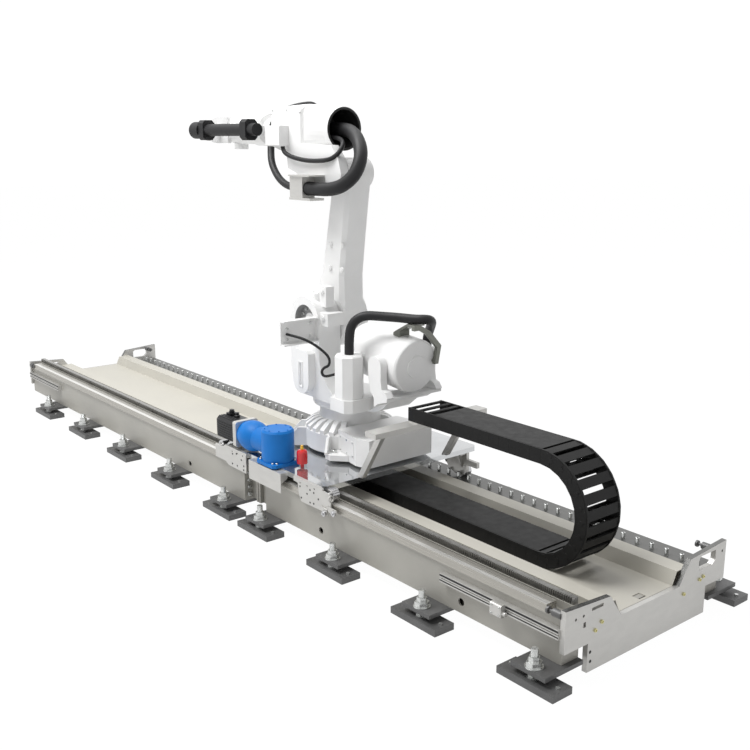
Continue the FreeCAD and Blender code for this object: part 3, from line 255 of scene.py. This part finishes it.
def lathe(bm, axis, cx, cy, outline, count=32):
    """Revolve (radius, height) points about an axis; ends at radius 0 close to a point."""
    turn = AXES[axis]
    loops = []
    for r, h in outline:
        if r == 0:
            loops.append([bm.verts.new(turn @ Vector((cx, cy, h)))])
        else:
            loops.append(loop(bm, axis, cx, cy, r, h, count))
    for low, high in zip(loops, loops[1:]):
        for i in range(count):
            j = (i + 1) % count
            face = [low[i % len(low)], low[j % len(low)], high[j % len(high)], high[i % len(high)]]
            bm.faces.new(list(dict.fromkeys(face)))


def hex_head(bm, axis, cx, cy, a, b, across, start=0.0):
    """A hexagon head, as wide as across from flat to flat."""
    prism(bm, circle(cx, cy, across / math.sqrt(3), 6, start), axis, a, b)


def cap_screw(bm, axis, cx, cy, seat, height, r, way=1):
    """A socket screw: a round head with its edge broken and a round socket sunk into it."""
    top = seat + way * height
    floor = top - way * height * 0.55
    lathe(bm, axis, cx, cy, [(r, seat), (r, top - way * r * 0.12), (r * 0.88, top),
                             (r * 0.55, top), (r * 0.55, floor), (0, floor)], 18)


# Hoses: one smooth line each, on the route points of the part's source
def hose(name, body, points, radius, node):
    """A round line on a body, in place of a node of the CAD where one is given."""
    data = bpy.data.curves.new(name, "CURVE")
    data.dimensions = "3D"
    line = data.splines.new("NURBS")
    line.points.add(len(points) - 1)
    for point, (x, y, z) in zip(line.points, points):
        point.co = (x, y, z, 1)
    line.order_u = 3
    line.use_endpoint_u = True
    line.resolution_u = 10
    data.bevel_depth = radius
    data.bevel_resolution = 6
    data.materials.append(RUBBER)
    obj = bpy.data.objects.new(name, data)
    bpy.context.collection.objects.link(obj)
    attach(obj, body)
    if node:
        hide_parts(node)
    return obj


FOREARM_Z, COVER_TOP = 3.072, 1.411
ELBOW_ROUTE = [(-0.365, 0.0, FOREARM_Z), (-0.13, 0.0, FOREARM_Z), (0.04, -0.02, 3.062),
               (0.215, -0.075, 2.995), (0.33, -0.135, 2.875), (0.335, -0.195, 2.745),
               (0.245, -0.242, 2.658), (0.11, -0.264, 2.624), (-0.04, -0.27, 2.622),
               (-0.257, -0.27, 2.622)]
RISER_ROUTE = [(-0.257, -0.27, 2.622), (-0.37, -0.27, 2.622), (-0.505, -0.264, 2.645),
               (-0.64, -0.245, 2.708), (-0.758, -0.218, 2.808), (-0.836, -0.168, 2.92),
               (-0.858, -0.145, 3.035), (-0.862, -0.122, 3.132), (-0.838, -0.07, 3.2),
               (-0.775, -0.01, 3.24), (-0.722, 0.095, 3.268), (-0.72, 0.195, 3.272),
               (-0.722, 0.256, 3.2), (-0.722, 0.256, FOREARM_Z)]
BASE_ROUTE = [(0.397, -0.317, COVER_TOP), (0.397, -0.317, 1.53), (0.404, -0.3, 1.645),
              (0.47, -0.24, 1.712), (0.58, -0.15, 1.708), (0.7, -0.075, 1.706),
              (0.815, -0.018, 1.702), (0.868, 0.025, 1.706), (0.866, 0.085, 1.692),
              (0.82, 0.14, 1.66), (0.75, 0.19, 1.61), (0.685, 0.232, 1.555),
              (0.645, 0.252, 1.5), (0.645, 0.252, 1.438)]
CORDS = [("elbow_line", "elbow", ELBOW_ROUTE, 0.052, "hose_elbow", 1.542),
         ("riser_line", "elbow", RISER_ROUTE, 0.029, "hose_riser", 1.524),
         ("base_line", "turret", BASE_ROUTE, 0.036, "hose_base", 1.272)]
for name, body, route, radius, node, length in CORDS:
    line = hose(name, body, route, radius, node)


# Screws, bolts and nuts, gathered by body so that each group is one piece
def screws(name, mat, body, items):
    """Socket screws: (axis, x, y, z, radius, height, way), seated on a face."""
    bm = bmesh.new()
    for axis, x, y, z, r, height, way in items:
        cx, cy, seat = {"x": (y, z, x), "y": (x, z, y), "z": (x, y, z)}[axis]
        cap_screw(bm, axis, cx, cy, seat, height, r, way)
    return place(bm, name, mat, body)


RAIL_START, RAIL_PITCH, RAIL_COUNT = -5.04, 0.118, 68
screws("rail_screws", ZINC, "track",
       [("z", RAIL_START + RAIL_PITCH * i, 0.645, 0.275, 0.0150, 0.048, 1)
        for i in range(RAIL_COUNT)])


def running_strip():
    """Bright worn strip where the rollers run, along the outer side of the front rail."""
    bm = bmesh.new()
    for x0, x1 in ((-4.990, -0.2770), (-0.2755, 2.822)):
        block(bm, x0, x1, -0.7945, -0.7600, 0.44490, 0.44515)
    place(bm, "running_strip", STRIP, "track")


running_strip()
PLATE_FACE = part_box("end_plate_near")[1][0]
END_BOLTS = [(-0.533, 0.257), (-0.477, 0.293), (0.515, 0.258), (0.553, 0.269), (0.346, 0.209)]
screws("end_bolts", YELLOW_ZINC, "track",
       [("x", PLATE_FACE, y, z, 0.012, 0.010, 1) for y, z in END_BOLTS])
# Painted shade: flush near black discs for the shade inside the end plate's holes
END_HOLES = [(-0.567, 0.130), (-0.562, 0.069)]
screws("end_hole_shade", PAINTED_SHADE, "track",
       [("x", PLATE_FACE, y, z, 0.011, 0.001, 1) for y, z in END_HOLES])
FEET = [2.841, 1.894, 0.947, 0.0, -0.552, -1.497, -2.442, -3.387, -4.332]
FOOT_Y, ANCHOR_OFFSET = 0.9, 0.175
THREAD_PITCH, THREAD_ROOT, THREAD_CREST = 0.0038, 0.0208, 0.0222


def foot_washers():
    """Broad washers under the lock nuts, anchor screws on the floor plates and stud threads."""
    washers, threads = bmesh.new(), bmesh.new()
    for x in FEET:
        for y in (-FOOT_Y, FOOT_Y):
            ring(washers, "z", x, y, 0.1045, 0.110, 0.056, 0.0225)
            ring(washers, "z", x, y, 0.0445, 0.049, 0.044, 0.0225)
            hex_head(washers, "z", x - ANCHOR_OFFSET, y, 0.045, 0.055, 0.024, 0.4)
            hex_head(washers, "z", x + ANCHOR_OFFSET, y, 0.045, 0.055, 0.024, 0.9)
            for k in range(12):
                z = 0.171 + THREAD_PITCH * k
                lathe(threads, "z", x, y, [(THREAD_ROOT, z), (THREAD_CREST, z + THREAD_PITCH / 2),
                                           (THREAD_ROOT, z + THREAD_PITCH)], 20)
    place(washers, "foot_washers", ZINC, "track")
    place(threads, "stud_threads", ZINC, "track", smooth=False)


foot_washers()


def joint_bolts():
    """Bolts with washers in the gap between the two lengths of girder."""
    bm = bmesh.new()
    for z in (0.16, 0.22, 0.28, 0.34):
        for x, way in ((-0.114, 1), (-0.406, -1)):
            washer = x - way * 0.004
            lathe(bm, "x", -0.74, z, [(0.018, x), (0.018, washer), (0.0, washer)], 20)
            hex_head(bm, "x", -0.74, z, *sorted((x, x - way * 0.022)), 0.026, 0.2)
    place(bm, "joint_bolts", ZINC, "track")


joint_bolts()

# Gearbox, motor and lubricator
GEAR_X, GEAR_Y, PLATE_TOP = 0.010, -0.725, 0.536
CAP_CIRCLE, CAP_TOP = 0.100, 0.814
FLANGE_SCREWS = [(-0.108, -0.085), (-0.085, -0.108), (0.085, -0.108), (0.108, -0.085),
                 (0.108, 0.085), (0.085, 0.108), (-0.085, 0.108), (-0.108, 0.085)]
screws("flange_screws", ZINC, "carriage",
       [("z", GEAR_X + dx, GEAR_Y + dy, PLATE_TOP + 0.026, 0.010, 0.012, 1)
        for dx, dy in FLANGE_SCREWS])
screws("cap_screws", BLUE, "carriage",
       [("z", GEAR_X + CAP_CIRCLE * math.cos(a), GEAR_Y + CAP_CIRCLE * math.sin(a), CAP_TOP,
         0.006, 0.005, 1) for a in [0.3 + math.pi / 4 * i for i in range(8)]])
MOTOR_Z, MOTOR_END, MOTOR_FRONT, PLUG_Y = 0.670, -0.752, -0.510, -0.705
RIB_PITCH, RIB_HALF, RIB_HEIGHT = 0.020, 0.004, 0.006
screws("adapter_screws", ZINC, "carriage",
       [("x", -0.488, GEAR_Y + dy, MOTOR_Z + dz, 0.008, 0.008, -1) for dy in (-0.094, 0.094)
        for dz in (-0.094, 0.094)])


def motor_ribs():
    """Cooling ribs on the motor's sides and on the free half of its top, and its two plugs."""
    bm = bmesh.new()
    for k in range(8):
        d = -0.070 + RIB_PITCH * k
        for side in (-1, 1):
            edge = GEAR_Y + side * 0.0915
            y0, y1 = sorted((edge, edge + side * RIB_HEIGHT))
            block(bm, MOTOR_END, MOTOR_FRONT, y0, y1,
                  MOTOR_Z + d - RIB_HALF, MOTOR_Z + d + RIB_HALF)
        if k < 3:
            block(bm, MOTOR_END, MOTOR_FRONT, GEAR_Y + d - RIB_HALF, GEAR_Y + d + RIB_HALF,
                  0.7615, 0.7675)
    place(bm, "motor_ribs", BLACK, "carriage", bevel=0.001)
    plugs = bmesh.new()
    lathe(plugs, "z", -0.620, PLUG_Y, [(0.0, 0.761), (0.024, 0.761), (0.024, 0.776),
                                       (0.018, 0.780), (0.018, 0.796), (0.015, 0.800),
                                       (0.0, 0.800)], 24)
    ring(plugs, "z", -0.703, PLUG_Y, 0.784, 0.794, 0.0235, 0.019)
    place(plugs, "motor_plugs", BLACK, "carriage")


motor_ribs()
tip = bmesh.new()
lathe(tip, "z", 0.215, -0.640, [(0.0135, 0.676), (0.0135, 0.690), (0.0105, 0.694), (0.0105, 0.7085),
                                (0.0, 0.7095)], 24)
place(tip, "lubricator_tip", YELLOW, "carriage")

# Bolts in the four lugs of the arm's base
LUG_RADIUS, LUG_TOP = 0.44, 0.604
LUG_SCREWS = []
for turn in (48, 132, 228, 312):
    a = math.radians(turn)
    for dy in (-0.052, 0.052):
        LUG_SCREWS.append(("z", LUG_RADIUS * math.cos(a) - dy * math.sin(a),
                           LUG_RADIUS * math.sin(a) + dy * math.cos(a), LUG_TOP, 0.021, 0.022, 1))
screws("lug_screws", ZINC, "carriage", LUG_SCREWS)

# Elbow: a near black sheet inside the bore that the thick hose runs into, as painted shade, and the
# thin cables
BORE = bmesh.new()
for start, end, r_out, r_in in ((-0.3645, -0.0550, 0.1479, 0.1462),
                                (-0.3648, -0.3625, 0.1462, 0.0535),
                                (-0.0550, -0.0540, 0.1635, 0.1465)):
    ring(BORE, "x", 0.0, FOREARM_Z, start, end, r_out, r_in, 48)
place(BORE, "bore_painted_shade", PAINTED_SHADE, "elbow")


def cable(name, body, points, radius):
    """A thin cable held at both ends, on the same kind of line as the hoses."""
    obj = hose(name, body, points, radius, None)


cable("elbow_cable", "elbow",
      [(-0.560, -0.235, 2.942), (-0.560, -0.235, 2.900), (-0.470, -0.232, 2.862),
       (-0.300, -0.224, 2.835), (-0.150, -0.217, 2.830), (0.020, -0.210, 2.840),
       (0.100, -0.185, 2.880), (0.115, -0.140, 2.950), (0.030, -0.095, 3.000),
       (-0.120, -0.090, 3.008), (-0.360, -0.090, 3.008)], 0.0175)
cable("bracket_cable", "turret",
      [(-0.026, -0.600, 1.535), (0.050, -0.600, 1.537), (0.127, -0.560, 1.522),
       (0.173, -0.500, 1.485), (0.219, -0.440, 1.430), (0.262, -0.400, 1.370),
       (0.262, -0.405, 1.310), (0.220, -0.425, 1.290), (0.198, -0.435, 1.255),
       (0.222, -0.430, 1.218), (0.270, -0.370, 1.235), (0.298, -0.340, 1.250)], 0.0105)


# Energy chain: covered runs and open ladder links at the carriage end
CHAIN_HALF, CHAIN_H, CHAIN_SIDE, CHAIN_PITCH = 0.165, 0.100, 0.014, 0.091
LINK_GAP = 0.0008
BEND_X, BEND_Z, BEND_R, BEND_LINKS = 2.190, 0.6763, 0.35, 12


def chain_run(name, x0, z0, open_links, node, bodies):
    """A straight run of links from x0 to the bend, baked in place."""
    bm = bmesh.new()
    inner, top = CHAIN_HALF - CHAIN_SIDE, z0 + CHAIN_H
    count = round((BEND_X - x0) / CHAIN_PITCH)
    pitch = (BEND_X - x0) / count
    for i in range(count):
        a, b = x0 + i * pitch, x0 + (i + 1) * pitch - LINK_GAP
        for side in (-1, 1):
            y0, y1 = sorted((side * inner, side * CHAIN_HALF))
            block(bm, a, b, y0, y1, z0, top)
        if i < open_links:
            for low, high in ((z0 + 0.002, z0 + 0.012), (top - 0.012, top - 0.002)):
                block(bm, a, a + 0.022, -inner, inner, low, high)
                block(bm, a + 0.030, a + 0.036, -inner, inner, low, high)
        else:
            for low, high in ((z0, z0 + 0.008), (top - 0.006, top + 0.001)):
                block(bm, a, b + LINK_GAP, -inner - 0.004, inner + 0.004, low, high)
    piece = place(bm, name, CHAIN, bodies[0], smooth=False, ride=False)
    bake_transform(piece)
    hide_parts(node)


chain_run("chain_lower_links", -0.150, 0.2763, 0, "chain_lower", ("track", "chain_bend"))
chain_run("chain_upper_links", 0.908, 0.9763, 3, "chain_upper", ("chain_upper", "chain_bend"))


def bend_plates():
    """Cheek plates and pivots on the links round the bend, and the divider bars inside them."""
    bm = bmesh.new()
    step = math.pi / BEND_LINKS

    def at(r, a):
        """The point (x, z) at a radius and an angle round the bend."""
        return BEND_X + r * math.cos(a), BEND_Z + r * math.sin(a)

    for i in range(BEND_LINKS):
        mid = -math.pi / 2 + (i + 0.5) * step
        joint = -math.pi / 2 + i * step
        for side in (-1, 1):
            y0, y1 = sorted((side * CHAIN_HALF, side * (CHAIN_HALF + 0.002)))
            prism(bm, [at(0.308, mid - step * 0.42), at(0.390, mid - step * 0.44), at(0.394, mid),
                       at(0.390, mid + step * 0.44), at(0.308, mid + step * 0.42)], "y", y0, y1)
            y0, y1 = sorted((side * CHAIN_HALF, side * (CHAIN_HALF + 0.0035)))
            rod(bm, "y", *at(BEND_R, joint), y0, y1, 0.016, 20)
        for y in (-0.055, 0.055):
            prism(bm, [at(0.313, mid - 0.04), at(0.386, mid - 0.04), at(0.386, mid + 0.04),
                       at(0.313, mid + 0.04)], "y", y - 0.002, y + 0.002)
    place(bm, "bend_plates", CHAIN, "chain_bend", bevel=0.0008, segments=1)


bend_plates()


# Brackets, limit switch, elbow housing and motor cover: small holes, painted as near black discs of
# shade, and screws on one face each
def dots(name, mat, body, points, axis, seat, r, way, height=0.0012):
    """Small flush holes and screws on one face: across y at (x, z), or across z at (x, y)."""
    items = []
    for p, q in points:
        spot = (p, seat, q) if axis == "y" else (p, q, seat)
        items.append((axis, *spot, r, height, way))
    screws(name, mat, body, items)


BRACKET_FACE, SWITCH_FACE, HOUSING_FACE = -0.812, -0.854, -0.190
# Painted shade: flush near black discs for the shade inside the brackets' holes
dots("right_bracket_hole_shade", PAINTED_SHADE, "carriage",
     [(0.429, 0.476), (0.557, 0.483), (0.604, 0.473), (0.443, 0.391), (0.555, 0.384),
      (0.602, 0.389), (0.518, 0.442), (0.660, 0.440)], "y", BRACKET_FACE, 0.008, -1)
dots("left_bracket_hole_shade", PAINTED_SHADE, "carriage",
     [(-0.535, 0.485), (-0.475, 0.500), (-0.401, 0.466), (-0.541, 0.400), (-0.365, 0.422),
      (-0.466, 0.400), (-0.368, 0.388)], "y", BRACKET_FACE, 0.008, -1)
dots("switch_screws", ZINC, "track",
     [(2.455, 0.270), (2.455, 0.320), (2.515, 0.270), (2.515, 0.320)],
     "y", SWITCH_FACE, 0.007, -1, 0.005)
dots("housing_screws", ZINC, "elbow",
     [(-0.760, 3.220), (-0.560, 3.220), (-0.380, 3.200)], "y", HOUSING_FACE, 0.009, -1, 0.004)
dots("cover_screws", ZINC, "turret",
     [(0.320, -0.240), (0.475, -0.240)], "z", COVER_TOP, 0.008, 1, 0.004)


def grip_rollers():
    """Adjusting rollers on small arms below the right front bracket."""
    arm_front, arm_back = -0.824, -0.8125
    lower = [(0.700, 0.405), (0.776, 0.400), (0.780, 0.356), (0.756, 0.340), (0.732, 0.352),
             (0.712, 0.380)]
    upper = [(0.770, 0.420), (0.812, 0.424), (0.885, 0.420), (0.896, 0.395), (0.872, 0.376),
             (0.800, 0.384)]
    wheel = [(0.0, -0.846), (0.010, -0.846), (0.010, -0.842), (0.020, -0.842), (0.022, -0.840),
             (0.022, -0.826), (0.020, arm_front), (0.0, arm_front)]
    arms, wheels = bmesh.new(), bmesh.new()
    for outline in (lower, upper):
        prism(arms, outline, "y", arm_front, arm_back)
    ring(arms, "x", BRACKET_FACE, 0.488, 0.812, 0.822, 0.026, 0.017)
    place(arms, "roller_arms", MACHINED, "carriage", bevel=0.001)
    for x, z in ((0.756, 0.364), (0.871, 0.398)):
        lathe(wheels, "y", x, z, wheel, 28)
        hex_head(wheels, "y", x, z, -0.852, -0.846, 0.016)
    place(wheels, "grip_rollers", ROLLER, "carriage")


grip_rollers()


def arm_bosses():
    """Four round bosses on the front of the lower arm."""
    boss = [(0.0, -0.128), (0.009, -0.128), (0.009, -0.124), (0.020, -0.124), (0.022, -0.121),
            (0.024, -0.110)]
    bm = bmesh.new()
    for x, z in ((-0.095, 2.180), (0.054, 2.186), (-0.105, 2.000), (0.051, 1.998)):
        lathe(bm, "y", x, z, boss, 24)
    place(bm, "arm_bosses", ROBOT, "lower_arm")


arm_bosses()


def box_panel():
    """Raised cover with screws on the side of the connection box."""
    bm, heads = bmesh.new(), bmesh.new()
    run, out = Vector((0.9824, -0.1863)), Vector((-0.1863, -0.9824))
    corner = Vector((0.230, -0.300))
    points = [corner + run * 0.035, corner + run * 0.265, corner + run * 0.265 + out * 0.004,
              corner + run * 0.035 + out * 0.004]
    prism(bm, [tuple(p) for p in points], "z", 0.612, 0.742)
    place(bm, "box_panel", ROBOT, "carriage", bevel=0.0015)
    for d in (0.05, 0.15, 0.25):
        for z in (0.624, 0.730):
            p = corner + run * d + out * 0.0035
            front = p.y - 0.005
            lathe(heads, "y", p.x, z, [(0.006, p.y), (0.006, front), (0.0, front)], 16)
    place(heads, "panel_screws", ZINC, "carriage")


box_panel()


def profile_groove_shade():
    """Painted shade: thin near black strips where the grooves of the slotted profile lie in shade.
    """
    bm = bmesh.new()
    for x0, x1 in ((1.964, 2.438), (2.532, 2.933), (-5.102, -4.250)):
        for low, high in ((0.283, 0.291), (0.315, 0.328)):
            block(bm, x0, x1, -0.8168, -0.8155, low, high)
    place(bm, "profile_groove_shade", PAINTED_SHADE, "track")


profile_groove_shade()


# Turret: bolted hub in the arch, damper pins, hose shelf plate and a thin raised frame
ARCH_X, ARCH_Z, ARCH_R, ARCH_FLOOR, ARCH_BOLT_CIRCLE = -0.165, 1.588, 0.1300, -0.2705, 0.098
STOP_X, STOP_Y, STOP_TOP, STOP_BOLT_CIRCLE = -0.105, -0.225, 1.811, 0.045


def turret_details():
    """The plain pieces on the turret: a grey sheet of painted shade in the arch, hub, pins, plate
    and frame.
    """
    dark, hub = bmesh.new(), bmesh.new()
    # Painted shade: a grey ring and floor in the arch, where the white casting lies in shade
    ring(dark, "y", ARCH_X, ARCH_Z, -0.3285, -0.2695, 0.1310, ARCH_R, 48)
    lathe(dark, "y", ARCH_X, ARCH_Z, [(ARCH_R, -0.2700), (0.0600, ARCH_FLOOR),
                                      (0.0, ARCH_FLOOR)], 48)
    place(dark, "arch_painted_shade", SHADE, "turret")
    lathe(hub, "y", ARCH_X, ARCH_Z, [(0.0, -0.300), (0.030, -0.300), (0.034, -0.296),
                                     (0.034, -0.284), (0.058, -0.280), (0.062, -0.276),
                                     (0.062, ARCH_FLOOR)], 32)
    place(hub, "arch_hub", ROBOT, "turret")
    pins = bmesh.new()
    for x, y, z, r in ((-0.015, -0.260, 1.835, 0.026), (0.060, -0.310, 1.640, 0.024)):
        lathe(pins, "y", x, z, [(0.0, y - 0.016), (r * 0.5, y - 0.016), (r * 0.55, y - 0.010),
                                (r, y - 0.010), (r, y)], 24)
    lathe(pins, "z", STOP_X, STOP_Y, [(0.0, 1.819), (0.026, 1.819), (0.030, 1.815),
                                      (0.030, STOP_TOP)], 24)
    place(pins, "damper_pins", ROBOT, "turret")
    plate = bmesh.new()
    prism(plate, [(0.612, 1.5811), (0.770, 1.6657), (0.7685, 1.6687), (0.6105, 1.5841)],
          "y", -0.060, 0.040)
    place(plate, "shelf_plate", MACHINED, "turret", bevel=0.0008)
    frame_edge = bmesh.new()
    for x0, x1, z0, z1 in ((-0.166, -0.158, 1.062, 1.276), (-0.114, -0.106, 1.062, 1.276),
                           (-0.158, -0.114, 1.268, 1.276), (-0.158, -0.114, 1.062, 1.070)):
        block(frame_edge, x0, x1, -0.4005, -0.396, z0, z1)
    place(frame_edge, "motor_frame", ROBOT, "turret", bevel=0.0015)


turret_details()
screws("arch_screws", ZINC, "turret",
       [("y", ARCH_X + ARCH_BOLT_CIRCLE * math.cos(a), ARCH_FLOOR,
         ARCH_Z + ARCH_BOLT_CIRCLE * math.sin(a), 0.013, 0.014, -1)
        for a in [0.2 + math.pi / 5 * i for i in range(10)]])
screws("channel_screws", ZINC, "turret",
       [("x", -0.020, y, z, 0.011, 0.010, 1)
        for y, z in ((-0.600, 1.580), (-0.600, 1.495), (-0.380, 1.600), (-0.380, 1.500))])
screws("stop_screws", ZINC, "turret",
       [("z", STOP_X + STOP_BOLT_CIRCLE * math.cos(a), STOP_Y + STOP_BOLT_CIRCLE * math.sin(a),
         STOP_TOP, 0.007, 0.006, 1) for a in (0.8, 2.4, 3.9, 5.5)])


EDGE_INSET = 0.0005


def dark_edges():
    """Ground upper edges of the end plates' ears."""
    bm = bmesh.new()
    for node in ("end_plate_near", "end_plate_far"):
        low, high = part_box(node)
        for side in (-1, 1):
            top = [(0.7995, 0.4530), (0.4020, 0.4270), (0.4020, 0.4278), (0.7995, 0.4538)]
            slope = [(0.4020, 0.4272), (0.2935, 0.2745), (0.2928, 0.2750), (0.4013, 0.4277)]
            for outline in (top, slope):
                prism(bm, [(side * y, z) for y, z in outline], "x",
                      low[0] + EDGE_INSET, high[0] - EDGE_INSET)
    place(bm, "plate_edges", EDGE, "track")


dark_edges()


# Floor, light and camera
WHITE = (1, 1, 1, 1)
FLOOR_GLOW, GLOW_SHARE, ROOM_LIGHT, BACKDROP = 1.03, 0.95, 0.44, 1.05
SENSOR_WIDTH, FOCAL_PIXELS, PICTURE_WIDTH = 36.0, 976.94, 750.0
CAMERA_PLACE, CAMERA_YAW, CAMERA_PITCH = (6.1252, -4.7358, 2.9916), 140.8, -13.55


def straight_rays(nodes, links):
    """A value that is 1 for camera and glossy rays, so that they see plain white."""
    rays = nodes.new("ShaderNodeLightPath")
    seen = nodes.new("ShaderNodeMath")
    seen.operation = "MAXIMUM"
    links.new(rays.outputs["Is Camera Ray"], seen.inputs[0])
    links.new(rays.outputs["Is Glossy Ray"], seen.inputs[1])
    return seen.outputs["Value"]


def studio():
    """A white floor and a white room, bright in the picture and softer as a light."""
    bpy.ops.mesh.primitive_plane_add(size=120)
    floor = bpy.context.object
    floor.name = "floor"
    mat = bpy.data.materials.new("floor_white")
    mat.use_nodes = True
    nodes, links = mat.node_tree.nodes, mat.node_tree.links
    bsdf = nodes["Principled BSDF"]
    bsdf.inputs["Roughness"].default_value = 0.9
    bsdf.inputs["Base Color"].default_value = (0.9, 0.9, 0.9, 1)
    glow = nodes.new("ShaderNodeEmission")
    glow.inputs["Color"].default_value = WHITE
    glow.inputs["Strength"].default_value = FLOOR_GLOW
    both = nodes.new("ShaderNodeMixShader")
    share = nodes.new("ShaderNodeMath")
    share.operation = "MULTIPLY"
    share.inputs[1].default_value = GLOW_SHARE
    links.new(straight_rays(nodes, links), share.inputs[0])
    links.new(share.outputs["Value"], both.inputs["Fac"])
    links.new(bsdf.outputs["BSDF"], both.inputs[1])
    links.new(glow.outputs["Emission"], both.inputs[2])
    links.new(both.outputs["Shader"], nodes["Material Output"].inputs["Surface"])
    floor.data.materials.append(mat)

    world = bpy.data.worlds.new("studio")
    bpy.context.scene.world = world
    world.use_nodes = True
    nodes, links = world.node_tree.nodes, world.node_tree.links
    soft = nodes["Background"]
    soft.inputs["Color"].default_value = WHITE
    soft.inputs["Strength"].default_value = ROOM_LIGHT
    white = nodes.new("ShaderNodeBackground")
    white.inputs["Color"].default_value = WHITE
    white.inputs["Strength"].default_value = BACKDROP
    mix = nodes.new("ShaderNodeMixShader")
    links.new(straight_rays(nodes, links), mix.inputs["Fac"])
    links.new(soft.outputs["Background"], mix.inputs[1])
    links.new(white.outputs["Background"], mix.inputs[2])
    links.new(mix.outputs["Shader"], nodes["World Output"].inputs["Surface"])


def lamp(name, spot, target, size, power):
    """A square area light at a spot, aimed at a target."""
    data = bpy.data.lights.new(name, "AREA")
    data.size = size
    data.energy = power
    obj = bpy.data.objects.new(name, data)
    bpy.context.collection.objects.link(obj)
    obj.location = spot
    obj.rotation_euler = (Vector(target) - Vector(spot)).to_track_quat("-Z", "Y").to_euler()


def camera():
    """The photo's view, as fitted to it."""
    data = bpy.data.cameras.new("camera")
    data.sensor_width = SENSOR_WIDTH
    data.lens = FOCAL_PIXELS / PICTURE_WIDTH * SENSOR_WIDTH
    data.clip_end = 200.0
    obj = bpy.data.objects.new("camera", data)
    bpy.context.collection.objects.link(obj)
    obj.location = CAMERA_PLACE
    yaw, pitch = math.radians(CAMERA_YAW), math.radians(CAMERA_PITCH)
    look = Vector((math.cos(yaw) * math.cos(pitch), math.sin(yaw) * math.cos(pitch),
                   math.sin(pitch)))
    obj.rotation_euler = look.to_track_quat("-Z", "Y").to_euler()
    bpy.context.scene.camera = obj


studio()
lamp("key", (-2.5, -4.5, 10.0), (0, 0, 1), 5.0, 900)
lamp("top", (-2.0, 0.0, 9.0), (-1, 0, 0), 7.0, 390)
camera()
bpy.context.scene.view_settings.view_transform = "Standard"
